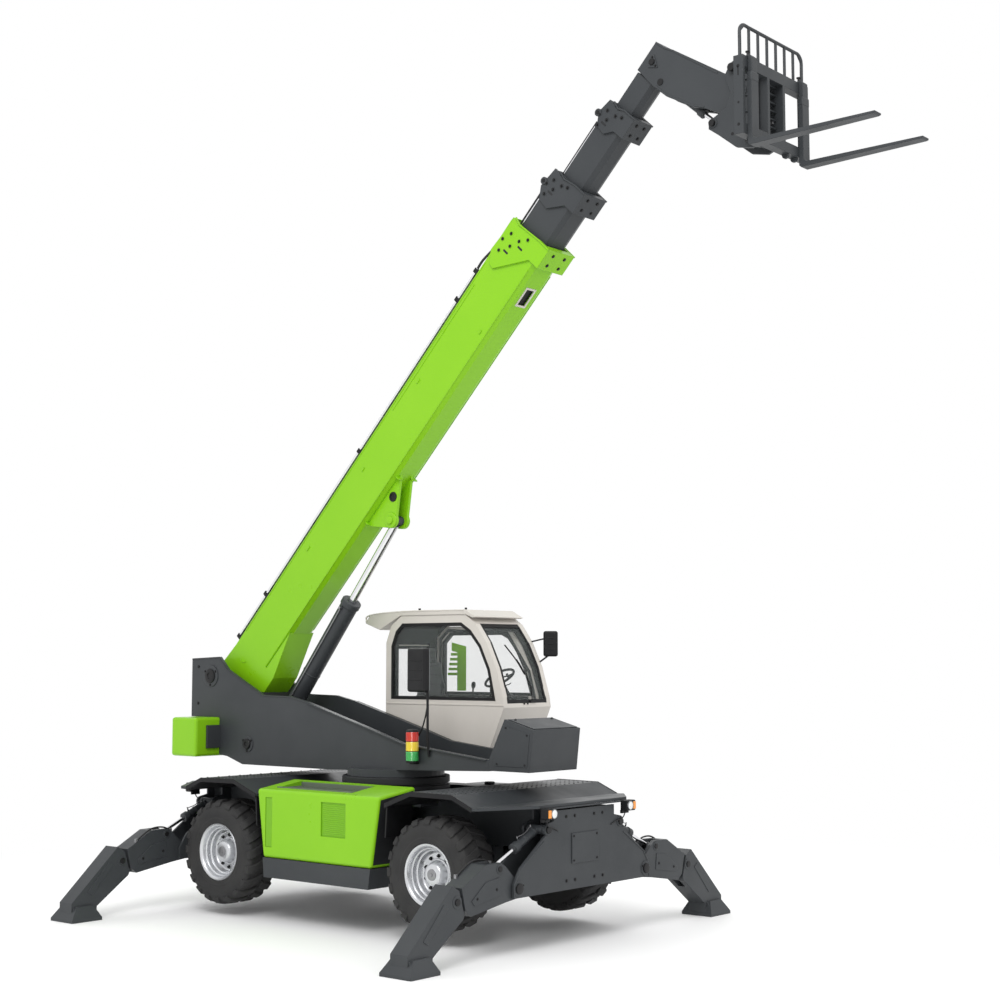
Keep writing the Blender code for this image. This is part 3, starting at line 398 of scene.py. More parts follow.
    def make(self):
        mesh = bpy.data.meshes.new(self.name)
        mesh.from_pydata([tuple(p) for p in self.points], [], self.faces)
        for coat in self.coats:
            mesh.materials.append(coat)
        mesh.polygons.foreach_set("material_index", self.coatOfFace)
        mesh.shade_smooth()
        mesh.set_sharp_from_angle(angle=radians(38))
        thing = bpy.data.objects.new(self.name, mesh)
        bpy.context.scene.collection.objects.link(thing)
        return thing

    def done(self, body, slot, *replaced):
        thing = self.make()
        even = thing.modifiers.new("even_normals", "WEIGHTED_NORMAL")
        even.keep_sharp = True
        return settle(thing, body, slot, *replaced)


def settle(thing, body, slot, *replaced):
    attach(thing, body)
    if replaced:
        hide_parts(*replaced)
    return thing


# Node trees: one repeats a shape round an axis, the other along a straight row.

def startTree(name, sockets):
    tree = bpy.data.node_groups.new(name, "GeometryNodeTree")
    tree.interface.new_socket("Shape", in_out="INPUT", socket_type="NodeSocketGeometry")
    for label, kind in sockets:
        tree.interface.new_socket(label, in_out="INPUT", socket_type=kind)
    tree.interface.new_socket("Result", in_out="OUTPUT", socket_type="NodeSocketGeometry")
    return tree, tree.nodes.new("NodeGroupInput"), tree.nodes.new("NodeGroupOutput")


def endTree(tree, copies, given, result):
    realize = tree.nodes.new("GeometryNodeRealizeInstances")
    paint = tree.nodes.new("GeometryNodeSetMaterial")
    tree.links.new(copies, realize.inputs["Geometry"])
    tree.links.new(realize.outputs["Geometry"], paint.inputs["Geometry"])
    tree.links.new(given.outputs["Coat"], paint.inputs["Material"])
    tree.links.new(paint.outputs["Geometry"], result.inputs["Result"])
    return tree


def roundTree():
    tree, given, result = startTree("repeatRound", [
        ("Count", "NodeSocketInt"), ("Axis", "NodeSocketVector"), ("Centre", "NodeSocketVector"),
        ("Coat", "NodeSocketMaterial")])
    link = tree.links.new
    spots = tree.nodes.new("GeometryNodeMeshLine")
    spots.inputs["Offset"].default_value = (0, 0, 0)
    link(given.outputs["Count"], spots.inputs["Count"])
    index = tree.nodes.new("GeometryNodeInputIndex")
    share = tree.nodes.new("ShaderNodeMath")
    share.operation = "DIVIDE"
    link(index.outputs[0], share.inputs[0])
    link(given.outputs["Count"], share.inputs[1])
    turn = tree.nodes.new("ShaderNodeMath")
    turn.operation = "MULTIPLY"
    turn.inputs[1].default_value = 2 * pi
    link(share.outputs[0], turn.inputs[0])
    spin = tree.nodes.new("FunctionNodeAxisAngleToRotation")
    link(given.outputs["Axis"], spin.inputs["Axis"])
    link(turn.outputs[0], spin.inputs["Angle"])
    copies = tree.nodes.new("GeometryNodeInstanceOnPoints")
    link(spots.outputs["Mesh"], copies.inputs["Points"])
    link(given.outputs["Shape"], copies.inputs["Instance"])
    link(spin.outputs["Rotation"], copies.inputs["Rotation"])
    shift = tree.nodes.new("GeometryNodeTransform")
    link(copies.outputs["Instances"], shift.inputs["Geometry"])
    link(given.outputs["Centre"], shift.inputs["Translation"])
    return endTree(tree, shift.outputs["Geometry"], given, result)


def rowTree():
    tree, given, result = startTree("repeatInRow", [
        ("Count", "NodeSocketInt"), ("Step", "NodeSocketVector"), ("Coat", "NodeSocketMaterial")])
    link = tree.links.new
    spots = tree.nodes.new("GeometryNodeMeshLine")
    link(given.outputs["Count"], spots.inputs["Count"])
    link(given.outputs["Step"], spots.inputs["Offset"])
    copies = tree.nodes.new("GeometryNodeInstanceOnPoints")
    link(spots.outputs["Mesh"], copies.inputs["Points"])
    link(given.outputs["Shape"], copies.inputs["Instance"])
    return endTree(tree, copies.outputs["Instances"], given, result)


trees = {"round": roundTree(), "row": rowTree()}


def repeated(piece, kind, body, slot, *replaced, **values):
    # piece is modelled about the origin for a round, or at its first place for a row
    thing = piece.make()
    modifier = thing.modifiers.new(kind, "NODES")
    modifier.node_group = trees[kind]
    for item in trees[kind].interface.items_tree:
        if item.in_out == "INPUT" and item.name in values:
            modifier[item.identifier] = values[item.name]
        elif item.in_out == "INPUT" and item.name == "Coat":
            modifier[item.identifier] = piece.coats[0]
    bpy.context.view_layer.update()
    depsgraph = bpy.context.evaluated_depsgraph_get()
    flat = bpy.data.meshes.new_from_object(thing.evaluated_get(depsgraph))
    thing.modifiers.clear()
    thing.data = flat
    flat.name = piece.name
    return settle(thing, body, slot, *replaced)


def boomPoint(along, across, above):
    return boomAxes @ Vector((along, across, above))


# Stage: white paper and soft lamps, with the camera low at the machine's right front.

def studioPaper():
    # white paper that brightens into the backdrop away from the machine
    paper = newMaterial("studio_paper", (0.96, 0.96, 0.96), 0.9)
    nodes, link = paper.node_tree.nodes, paper.node_tree.links.new
    place, reach = nodes.new("ShaderNodeTexCoord"), nodes.new("ShaderNodeVectorMath")
    reach.operation = "LENGTH"
    fade, glow, blend = (nodes.new("ShaderNode" + kind) for kind in ("MapRange", "Emission", "MixShader"))
    fade.interpolation_type = "SMOOTHSTEP"
    fade.inputs["From Min"].default_value = 5.0
    fade.inputs["From Max"].default_value = 10.0
    glow.inputs["Strength"].default_value = 1.0
    link(place.outputs["Object"], reach.inputs[0])
    link(reach.outputs["Value"], fade.inputs["Value"])
    link(fade.outputs["Result"], blend.inputs[0])
    link(shaderOf(paper).outputs[0], blend.inputs[1])
    link(glow.outputs[0], blend.inputs[2])
    link(blend.outputs[0], nodes["Material Output"].inputs["Surface"])
    return paper


def addStage():
    bpy.ops.mesh.primitive_plane_add(size=400, location=(0, 0, 0))
    floor = bpy.context.object
    floor.name = "studio_floor"
    floor.data.materials.append(studioPaper())

    world = bpy.data.worlds.new("studio")
    bpy.context.scene.world = world
    world.use_nodes = True
    background = world.node_tree.nodes["Background"]
    background.inputs["Color"].default_value = (1, 1, 1, 1)
    background.inputs["Strength"].default_value = 1.0

    for name, at, aim, size, power in (
            ("key_light", (7, -13, 16), (0, 0, 3), 8, 1500),
            ("rim_light", (-12, 10, 12), (0, 0, 3), 8, 500)):
        data = bpy.data.lights.new(name, "AREA")
        data.size = size
        data.energy = power
        lamp = bpy.data.objects.new(name, data)
        bpy.context.scene.collection.objects.link(lamp)
        lamp.location = at
        lamp.rotation_euler = (Vector(aim) - Vector(at)).to_track_quat("-Z", "Y").to_euler()
    bpy.context.scene.view_settings.view_transform = "Standard"


def addCamera():
    data = bpy.data.cameras.new("camera")
    camera = bpy.data.objects.new("camera", data)
    bpy.context.scene.collection.objects.link(camera)
    azimuth, climb = 0.701, 0.095
    data.sensor_width = 36
    data.lens = 60.086
    data.clip_end = 1000
    camera.location = (12.994 + slewX, -13.605, 2.832)
    look = Vector((-sin(azimuth) * cos(climb), cos(azimuth) * cos(climb), sin(climb)))
    camera.rotation_euler = look.to_track_quat("-Z", "Y").to_euler()
    bpy.context.scene.camera = camera


addStage()
addCamera()
print("stage done")


# Wheels

wheelSizes = {"x": 1.585, "y": 0.9975, "z": 0.693, "lugs": 20, "bolts": 10, "boltRing": 0.178}


def tyreLug(piece, side, turnShift):
    # one raised block from the tread's middle, over the shoulder and down the sidewall
    stations = [(0.010, 0.575, 0.00), (0.080, 0.5755, 0.06), (0.150, 0.573, 0.11), (0.196, 0.563, 0.14),
                (0.220, 0.544, 0.15), (0.2245, 0.522, 0.15), (0.2225, 0.506, 0.15)]
    half = 0.046
    rings = []
    for k, (y, top, lean) in enumerate(stations):
        low = min(top - 0.045, 0.545) if k < 4 else top - 0.03
        inner = y if k < 4 else y - 0.03
        width = half * (1.0 if k < 5 else 0.78)
        ring = []
        for across, radius, depth in ((-1, low, inner), (-1, top - 0.008, y), (-0.84, top, y), (0.84, top, y),
                                      (1, top - 0.008, y), (1, low, inner)):
            angle = lean + turnShift + across * width / radius
            ring.append((radius * sin(angle), side * depth, radius * cos(angle)))
        rings.append(ring)
    points = [p for ring in rings for p in ring]
    n = len(rings[0])
    faces = [tuple(range(n)), tuple(range(len(points) - n, len(points)))]
    for k in range(len(rings) - 1):
        faces += [(k * n + i, k * n + (i + 1) % n, (k + 1) * n + (i + 1) % n,
                   (k + 1) * n + i) for i in range(n)]
    piece.solid(points, faces)


def addWheel(end, side):
    label = f"{end}_{side}"
    s = way[side]
    centre = (way[end] * wheelSizes["x"], s * wheelSizes["y"], wheelSizes["z"])
    world = machineAxes @ Vector(centre)
    half = [(0.2925, 0.186), (0.312, 0.196), (0.318, 0.206), (0.335, 0.213), (0.352, 0.2135), (0.358, 0.2175),
            (0.366, 0.2185), (0.374, 0.2175), (0.382, 0.2145), (0.400, 0.2195), (0.435, 0.2235),
            (0.462, 0.223),
            (0.470, 0.2195), (0.500, 0.214), (0.525, 0.205), (0.541, 0.190), (0.5465, 0.165), (0.549, 0.08)]
    tyre = Piece(label + "_tyre", tyreRubber)
    tyre.turned(half + [(r, -a) for r, a in half[::-1]], centre, (0, s, 0), 96)
    tyre.done(label + "_wheel", "tyre_rubber", label + "_wheel_tyre")
    lugs = Piece(label + "_tyre_lugs", tyreRubber, Matrix.Identity(4))
    tyreLug(lugs, 1, 0.0)
    tyreLug(lugs, -1, pi / wheelSizes["lugs"])
    repeated(lugs, "round", label + "_wheel", "tyre_rubber", Count=wheelSizes["lugs"], Axis=(0, 1, 0),
             Centre=tuple(world))

    rim = Piece(label + "_rim", wheelSilver)
    face = [(0.2915, -0.183), (0.305, -0.190), (0.313, -0.199), (0.313, -0.207), (0.300, -0.209),
            (0.284, -0.203),
            (0.276, -0.170), (0.262, -0.16), (0.262, -0.01), (0.240, 0.023), (0, 0.023), (0, 0.143),
            (0.070, 0.142), (0.096, 0.138), (0.112, 0.128), (0.124, 0.100), (0.131, 0.060), (0.138, 0.052),
            (0.150, 0.050), (0.154, 0.038), (0.204, 0.038), (0.214, 0.044), (0.226, 0.060), (0.234, 0.094),
            (0.246, 0.100), (0.250, 0.106), (0.256, 0.146), (0.266, 0.151), (0.270, 0.157), (0.275, 0.186),
            (0.286, 0.200), (0.298, 0.208), (0.309, 0.2095), (0.313, 0.203), (0.311, 0.196), (0.300, 0.190),
            (0.2915, 0.183)]
    rim.turned(face, centre, (0, s, 0), 96)
    rim.use(zincBolt)
    rim.turned([(0, 0), (0.058, 0), (0.056, 0.008), (0.020, 0.012), (0.018, 0.020), (0, 0.021)],
               (centre[0], centre[1] + s * 0.141, centre[2]), (0, s, 0), 32)
    rim.done(label + "_wheel", "silver_paint", label + "_wheel_rim")
    bolt = Piece(label + "_wheel_bolts", blackBolt, Matrix.Identity(4))
    bolt.turned(disc(0.020, 0.006), (0, s * 0.037, wheelSizes["boltRing"]), (0, s, 0), 16)
    bolt.turned(disc(0.0145, 0.020, 0.012, 0.024),
                (0, s * 0.037, wheelSizes["boltRing"]), (0, s, 0), 6)
    repeated(bolt, "round", label + "_wheel", "silver_paint", Count=wheelSizes["bolts"], Axis=(0, 1, 0),
             Centre=tuple(world))


for end, side in corners:
    addWheel(end, side)
print("wheels done")


# Hydraulic cylinders: a painted barrel with its gland, ports and pipe, and a chromed rod with its eye.

def addCylinder(label, base, eye, across, body, sizes, barrelNode, rodNode):
    base, eye = Vector(base), Vector(eye)
    aim = (eye - base).normalized()
    total = (eye - base).length
    r, length, rodRadius = sizes["barrel"], sizes["length"], sizes["rod"]
    pinLine = Vector(across)
    barrel = Piece(label + "_barrel", charcoalPaint)
    g = r + 0.012
    barrel.turned([(0, r * 0.5), (r * 0.8, r * 0.6), (r, r * 0.85), (r, length - 0.075), (g, length - 0.065),
                   (g, length - 0.006), (g - 0.006, length), (rodRadius + 0.010, length),
                   (rodRadius + 0.008, length + 0.004), (rodRadius + 0.0015, length + 0.004),
                   (rodRadius + 0.0015, r * 1.3), (0, r * 1.3)], base, aim, 48)
    for at in (r * 1.3, length * 0.5):
        barrel.turned([(r - 0.002, at), (r + 0.004, at + 0.003), (r + 0.004, at + 0.016),
                       (r - 0.002, at + 0.019)],
                      base, aim, 48)
    w = sizes["lug"] / 2
    eyeR = r + 0.004
    barrel.turned([(sizes["bore"], -w), (eyeR - 0.006, -w), (eyeR, -w + 0.006), (eyeR, w - 0.006),
                   (eyeR - 0.006, w), (sizes["bore"], w)], base, pinLine, 40)
    lift = aim.cross(pinLine).normalized()
    if lift.z < 0:
        lift = -lift
    if sizes.get("portSide"):
        lift = -pinLine
    for at in (r * 1.7, length - 0.10):
        port = base + aim * at + lift * (r - 0.004)
        barrel.rod(port, port + lift * 0.028, r * 0.20, 16)
        barrel.use(zincBolt).rod(port + lift * 0.026, port + lift * 0.05, r * 0.16, 6).use(charcoalPaint)
    pipe = lift * (r + 0.03 + r * 0.1)
    barrel.use(zincBolt)
    barrel.tube([base + aim * (r * 1.7) + pipe, base + aim * (r * 1.7 + 0.08) + lift * (r + 0.016),
                 base + aim * (length * 0.5) + lift * (r + 0.016),
                 base + aim * (length - 0.19) + lift * (r + 0.016),
                 base + aim * (length - 0.10) + pipe], max(0.005, r * 0.08), 10)
    barrel.done(body + "_barrel", "charcoal_paint", barrelNode)

    stem = Piece(label + "_piston_rod", hardChrome)
    inner = total - sizes["stroke"]
    stem.turned([(0, inner), (rodRadius, inner), (rodRadius, total - sizes["eye"] * 0.8),
                 (0, total - sizes["eye"] * 0.8)],
                base, aim, 48)
    stem.use(charcoalPaint)
    e = sizes["eyeWidth"] / 2
    stem.turned([(rodRadius * 0.9, total - sizes["eye"] * 1.10),
                 (rodRadius + 0.006, total - sizes["eye"] * 1.05),
                 (rodRadius + 0.009, total - sizes["eye"] * 0.75), (0, total - sizes["eye"] * 0.6),
                 (0, total - sizes["eye"] * 1.10)], base, aim, 32)
    stem.turned([(0.0, -e), (sizes["eye"] - 0.005, -e), (sizes["eye"], -e + 0.005), (sizes["eye"], e - 0.005),
                 (sizes["eye"] - 0.005, e), (0.0, e)], eye, pinLine, 40)
    stem.done(body + "_rod", "chrome", rodNode)


liftEye = machineAxes.inverted() @ boomPoint(3.15, 0, -0.734)
addCylinder("lift_cylinder", (-2.04, 0, 1.84), liftEye, (0, 1, 0), "lift",
            {"barrel": 0.105, "length": 2.12, "rod": 0.048, "stroke": 2.30, "lug": 0.24, "bore": 0.05,
             "portSide": True,
             "eye": 0.052, "eyeWidth": 0.12}, "lift_barrel", "lift_rod")
addCylinder("tilt_cylinder", (3.72, 0, 8.60), (4.36, 0, 8.03), (0, 1, 0), "tilt",
            {"barrel": 0.040, "length": 0.60, "rod": 0.022, "stroke": 0.62, "lug": 0.10, "bore": 0.01,
             "eye": 0.040, "eyeWidth": 0.08}, "tilt_barrel", "tilt_rod")
for end, side in corners:
    x, s = way[end] * 2.49, way[side]
    label = f"{end}_{side}_stabiliser_strut"
    addCylinder(f"{end}_{side}_strut", (x, s * 0.60, 1.16), (x, s * 1.29, 0.845), (1, 0, 0), label,
                {"barrel": 0.042, "length": 0.40, "rod": 0.020, "stroke": 0.385, "lug": 0.19, "bore": 0.0235,
                 "eye": 0.036, "eyeWidth": 0.07}, label + "_barrel", label + "_rod")
print("cylinders done")


# Chassis: engine cover, decks, lights, pins and plates

coverSizes = {"y": (0.64, 1.20), "topX": (-0.956, 0.903), "lowX": (-0.85, 0.785), "z": (0.69, 1.42, 1.50),
              "edge": 0.035, "vent": ((0.054, 0.419), (0.975, 1.33)),
              "stripe": ((-0.812, -0.710), (0.807, 1.335)),
              "grille": ((-0.75, 0.40), (-1.08, -0.72))}


def boxCutter(x, y, z):
    cutter = Piece("cutter", shadedLime)
    cutter.box(x, y, z)
    return cutter.make()


def carve(thing, cutters):
    for cutter in cutters:
        step = thing.modifiers.new("pocket", "BOOLEAN")
        step.operation = "DIFFERENCE"
        step.solver = "EXACT"
        step.object = cutter
    bpy.context.view_layer.update()
    flat = bpy.data.meshes.new_from_object(thing.evaluated_get(bpy.context.evaluated_depsgraph_get()))
    thing.modifiers.clear()
    thing.data = flat
    flat.shade_smooth()
    flat.set_sharp_from_angle(angle=radians(38))
    for cutter in cutters:
        bpy.data.objects.remove(cutter)
    return thing


def addEngineCover():
    c = coverSizes
    yIn, yOut = c["y"]
    low, out, high = c["z"]
    points = []
    for top, bottom in zip(c["topX"], c["lowX"]):
        points += [(bottom, -yOut, low), (top, -yOut, out), (top, -yIn, high), (bottom, -yIn, low)]
    faces = [(3, 2, 1, 0), (4, 5, 6, 7), (0, 1, 5, 4), (1, 2, 6, 5), (2, 3, 7, 6), (3, 0, 4, 7)]
    hood = Piece("engine_hood", limePaint)
    hood.solid(points, faces, c["edge"], 4)
    hood.use(shadedLime)
    thing = hood.make()
    (ventX, ventZ), (stripeX, stripeZ), (grilleX, grilleY) = c["vent"], c["stripe"], c["grille"]
    carve(thing, [boxCutter(ventX, (-yOut - 0.05, -yOut + 0.014), ventZ),
                  boxCutter(stripeX, (-yOut - 0.05, -yOut + 0.010), stripeZ),
                  boxCutter(grilleX, grilleY, (out - 0.01, high + 0.1)),
                  boxCutter((-1.2, 1.2), (-yOut - 0.1, -yOut + 0.003), (0.712, 0.716))])
    thing.data.materials.append(darkPaint)
    ends = len(thing.data.materials) - 1
    for face in thing.data.polygons:
        if abs(face.normal.x) > 0.9 and face.center.z < out - 0.02 and face.area > 0.02:
            face.material_index = ends  # the ends towards the wheels are dark
    even = thing.modifiers.new("even_normals", "WEIGHTED_NORMAL")
    even.keep_sharp = True
    settle(thing, "chassis", "lime_paint", "engine_cover")
    # the vent's slats, the vent's back and the stripe's inset take the darker lime: painted shade in the
    # recesses
    slat = Piece("cover_vent_slats", shadedLime)
    z = ventZ[0] + 0.012
    slat.prism([(-yOut + 0.0135, z), (-yOut + 0.0105, z + 0.003), (-yOut + 0.0105, z + 0.013),
                (-yOut + 0.0135, z + 0.016)],
               "x", ventX[0] + 0.006, ventX[1] - 0.006)
    repeated(slat, "row", "chassis", "lime_paint", Count=17, Step=(0, 0, 0.0205))
    panel = Piece("cover_vent_back", shadedLime)
    panel.box((ventX[0] + 0.001, ventX[1] - 0.001), (-yOut + 0.0132, -yOut + 0.02),
              (ventZ[0] + 0.001, ventZ[1] - 0.001))
    panel.box((stripeX[0] + 0.003, stripeX[1] - 0.003), (-yOut + 0.005, -yOut + 0.0098),
              (stripeZ[0] + 0.003, stripeZ[1] - 0.003), 0.002)
    panel.use(greyGreen)
    panel.box((grilleX[0] + 0.002, grilleX[1] - 0.002), (grilleY[0] + 0.002, grilleY[1] - 0.002),
              (out - 0.04, out - 0.008))
    for y in grilleY:
        panel.box(grilleX, (y - 0.012, y + 0.012), (out - 0.03, out + 0.028 + 0.03 * (y > -0.9)), 0.004)
    panel.done("chassis", "lime_paint")
    bar = Piece("cover_grille_bars", greyGreen)
    bar.box((grilleX[0] + 0.010, grilleX[0] + 0.018), (grilleY[0] + 0.01, grilleY[1] - 0.01),
            (out - 0.02, out + 0.018))
    repeated(bar, "row", "chassis", "dark_paint", Count=38, Step=(0.030, 0, 0))


def addDeckTrim(end):
    e = way[end]
    top = [(0.98, 1.364), (1.34, 1.50), (1.90, 1.495), (2.16, 1.385), (2.63, 1.402)]
    trim = Piece(end + "_deck_trim", blackPlastic)
    under = [(e * x, z - 0.034) for x, z in top[:4]]
    liner = under + [(x, z - 0.008) for x, z in under[::-1]]
    for s in (-1, 1):
        trim.prism(liner, "y", *sorted((s * 0.40, s * 1.185)), 0.001)
        rim = [(e * x, z + 0.004) for x, z in top[:4]] + [(e * x, z - 0.045) for x, z in top[3::-1]]
        trim.prism(rim, "y", *sorted((s * 1.196, s * 1.206)), 0.002)
        flap = [(e * 1.005, 1.33), (e * 0.985, 1.33), (e * 0.965, 1.02), (e * 0.985, 1.02)]
        trim.prism(flap, "y", *sorted((s * 0.80, s * 1.18)), 0.004)
    trim.done("chassis", "dark_paint")
    rows = Piece(end + "_deck_grip_row", charcoalPaint)
    for k in range(15):
        rows.turned([(0, -0.004), (0.013, -0.004), (0.008, 0.003), (0, 0.0035)],
                    ((1.38 if e > 0 else -1.88), -1.12 + k * 0.16, 1.498), (0, 0, 1), 8)
    repeated(rows, "row", "chassis", "charcoal_paint", Count=9, Step=(0.062, 0, 0))
    lights = Piece(end + "_lights", blackPlastic)
    for s in (-1, 1):
        x0, x1 = e * 2.632, e * 2.74
        lights.box(sorted((x0, e * 2.66)), sorted((s * 0.60, s * 0.72)), (1.24, 1.275), 0.004)
        lights.box(sorted((e * 2.645, x1)), sorted((s * 0.585, s * 0.735)), (1.27, 1.378), 0.014, 3)
        lights.use(clearLens if e > 0 else redLens)
        lights.turned([(0, 0), (0.040, 0), (0.040, 0.008), (0.022, 0.014), (0, 0.016)],
                      (x1 - e * 0.002, s * 0.635, 1.324), (e, 0, 0), 32)
        lights.use(orangeLens)
        lights.box(onFace(x1, e, 0.010), sorted((s * 0.682, s * 0.726)), (1.285, 1.363), 0.006)
        lights.use(zincBolt)
        lights.turned([(0.040, 0), (0.047, 0), (0.045, 0.010), (0.040, 0.010)],
                      (x1 - e * 0.002, s * 0.635, 1.324),
                      (e, 0, 0), 32)
        lights.use(hoseRubber)
        lights.tube([(e * 2.66, s * 0.66, 1.262), (e * 2.655, s * 0.62, 1.20), (e * 2.640, s * 0.52, 1.17),
                     (e * 2.634, s * 0.44, 1.14)], 0.006, 8)
        lights.use(blackPlastic)
    lights.done("chassis", "dark_paint")


plateSizes = {"face": 2.63, "pins": ((1.05, 0.64, 0.052), (0.60, 1.16, 0.036)),
              "edge": [(1.115, 0.56), (1.115, 0.675), (1.015, 0.825), (0.66, 1.05)],
              "bolts": ((0.16, 1.27), (0.16, 0.64), (0.30, 1.27), (0.30, 0.64)),
              "cover": ((-0.22, 0.22), (0.80, 1.10)), "shelf": ((-0.62, 0.62), (1.356, 1.372))}


def addPlateTrim(end):
    # pins, their lock plates and the folded stiffeners on the outrigger's end plate
    c, e = plateSizes, way[end]
    face = e * c["face"]
    trim = Piece(end + "_plate_trim", charcoalPaint)
    for s in (-1, 1):
        for y, z, r in c["pins"]:
            at = (face - e * 0.002, s * y, z)
            trim.use(charcoalPaint).turned(disc(r * 1.5, 0.008, r * 1.42, 0.010), at, (e, 0, 0), 40)
            trim.use(blackBolt).turned(disc(r, 0.024, r * 0.9, 0.028), at, (e, 0, 0), 32)
            trim.hexBolt((face + e * 0.010, s * (y - r * 1.12), z + r * 0.5), (e, 0, 0), 0.008, 0.009)
        trim.use(charcoalPaint)
        for a, b in zip(c["edge"], c["edge"][1:]):
            mid = Vector((0, s * b[0] - s * a[0], b[1] - a[1])).normalized()
            p, q = Vector((face, s * a[0], a[1])), Vector((face, s * b[0], b[1]))
            trim.rod(p - mid * 0.004, q + mid * 0.004, 0.008, 12)
        trim.use(blackBolt)
        for y, z in c["bolts"]:
            trim.hexBolt((face, s * y, z), (e, 0, 0), 0.012, 0.010)
        trim.use(charcoalPaint)
    trim.box(onFace(face, e, 0.012), *c["cover"], 0.006)
    trim.box(onFace(face, e, 0.022), *c["shelf"], 0.004)
    trim.use(blackBolt)
    for y in (-0.19, 0.19):
        for z in (0.83, 1.07):
            trim.hexBolt((face + e * 0.012, y, z), (e, 0, 0), 0.009, 0.008)
    trim.done("chassis", "charcoal_paint")


legSizes = {"x": 2.49, "half": 0.108, "strutPin": (1.29, 0.845), "strutPinRadius": 0.028,
            "elbow": (1.90, 0.60),
            "anklePin": (2.415, 0.115), "hoseRun": 0.085,
            "hose": ((1.22, 0.885), (1.34, 0.925), (1.50, 0.912), (1.70, 0.800)),
            "armBolts": ((1.34, 0.66), (1.62, 0.60)), "gussets": (2.27, 2.54)}


def addStabiliserTrim(end, side):
    c, e, s = legSizes, way[end], way[side]
    x = e * c["x"]
    label = f"{end}_{side}"
    arm = Piece(label + "_arm_trim", charcoalPaint)
    for f in (-1, 1):
        fx = x + f * c["half"]
        pin, r = (fx - f * 0.002, s * c["strutPin"][0], c["strutPin"][1]), c["strutPinRadius"]
        arm.use(charcoalPaint).turned(disc(r * 1.7, 0.006), pin, (f, 0, 0), 32)
        arm.use(blackBolt).turned([(0, 0), (r, 0), (r * 0.96, 0.014), (0, 0.016)], pin, (f, 0, 0), 32)
        arm.use(charcoalPaint)
        arm.prism([(s * 1.28, 0.60), (s * 1.66, 0.54), (s * 1.70, 0.585), (s * 1.50, 0.74),
                   (s * 1.30, 0.77)], "x",
                  *onFace(fx, f, 0.007), 0.003)
        arm.use(blackBolt)
        for y, z in c["armBolts"]:
            arm.hexBolt((fx + f * 0.007, s * y, z), (f, 0, 0), 0.010, 0.008)
    arm.use(hoseRubber)
    run = x - e * c["hoseRun"]
    arm.tube([(run, s * y, z) for y, z in c["hose"]], 0.009, 10)
    arm.use(zincBolt)
    for y, z in ((1.22, 0.878), (1.70, 0.796)):
        arm.box((run - 0.016, run + 0.016), sorted((s * (y - 0.015), s * (y + 0.015))),
                (z - 0.02, z + 0.024), 0.003)
    arm.done(label + "_stabiliser_arm", "charcoal_paint")
    leg = Piece(label + "_leg_trim", charcoalPaint)
    for f in (-1, 1):
        fx = x + f * c["half"]
        elbow = (fx - f * 0.002, s * c["elbow"][0], c["elbow"][1])
        ankle = (fx - f * 0.002, s * c["anklePin"][0], c["anklePin"][1])
        leg.use(charcoalPaint).turned(disc(0.062, 0.006), elbow, (f, 0, 0), 32)
        leg.use(blackBolt).turned([(0, 0), (0.034, 0), (0.033, 0.016), (0, 0.018)], elbow, (f, 0, 0), 32)
        leg.turned([(0, 0), (0.036, 0), (0.035, 0.012), (0, 0.014)], ankle, (f, 0, 0), 32)
        leg.use(charcoalPaint)
        leg.prism([(s * 2.02, 0.56), (s * 2.30, 0.26), (s * 2.36, 0.30), (s * 2.08, 0.60)], "x",
                  *onFace(fx, f, 0.006), 0.003)
        for y in c["gussets"]:
            leg.prism([(fx + f * 0.006, 0.150), (x + f * 0.185, 0.036), (x + f * 0.185, 0.028),
                       (fx - f * 0.002, 0.028),
                       (fx - f * 0.002, 0.150)], "y", *sorted((s * y - 0.007, s * y + 0.007)), 0.002)
    leg.done(label + "_stabiliser_leg", "charcoal_paint")


stepSizes = {"depthsAndHeights": ((0.16, 0.55), (0.16, 0.87), (0.32, 1.19)), "bars": 9,
             "filler": (0.58, 0.92)}


def addLeftSteps():
    c = stepSizes
    treads = Piece("step_treads", zincBolt)
    for depth, z in c["depthsAndHeights"]:
        for k in range(c["bars"]):
            x = -0.285 + k * 0.064
            treads.box((x, x + 0.022), (1.2 - depth + 0.01, 1.196), (z - 0.001, z + 0.006), 0.002)
        treads.box((-0.298, 0.248), (1.188, 1.199), (z - 0.001, z + 0.010), 0.003)
    treads.use(blackPlastic)
    x, y = c["filler"]
    treads.rod((x, y, 1.418), (x, y, 1.452), 0.055, 32)
    for k in range(12):
        t = 2 * pi * k / 12
        at = (x + 0.054 * cos(t), y + 0.054 * sin(t))
        treads.rod((*at, 1.425), (*at, 1.449), 0.006, 8)
    treads.use(zincBolt)
    treads.tube([(0.42, 1.205, 0.60), (0.42, 1.238, 0.66), (0.42, 1.238, 1.02), (0.42, 1.205, 1.08)], 0.012,
                12)
    treads.done("chassis", "dark_paint")


ringSizes = {"teeth": 110, "toothHeights": (1.345, 1.412)}


def addSlewRing():
    ring = Piece("slew_ring_race", darkPaint)
    ring.turned([(0.50, 1.331), (0.585, 1.331), (0.585, 1.415), (0.598, 1.42), (0.598, 1.455), (0.575, 1.46),
                 (0.575, 1.475), (0.598, 1.48), (0.598, 1.545), (0.59, 1.5525), (0, 1.5525),
                 (0, 1.331)], (0, 0, 0), (0, 0, 1), 128)
    ring.done("chassis", "dark_paint", "slew_ring")
    tooth = Piece("slew_ring_teeth", darkPaint, Matrix.Identity(4))
    tooth.prism([(0.580, -0.010), (0.600, -0.005), (0.600, 0.005), (0.580, 0.010)], "z",
                *ringSizes["toothHeights"])
    repeated(tooth, "round", "chassis", "dark_paint", Count=ringSizes["teeth"], Axis=(0, 0, 1),
             Centre=(slewX, 0, 0))


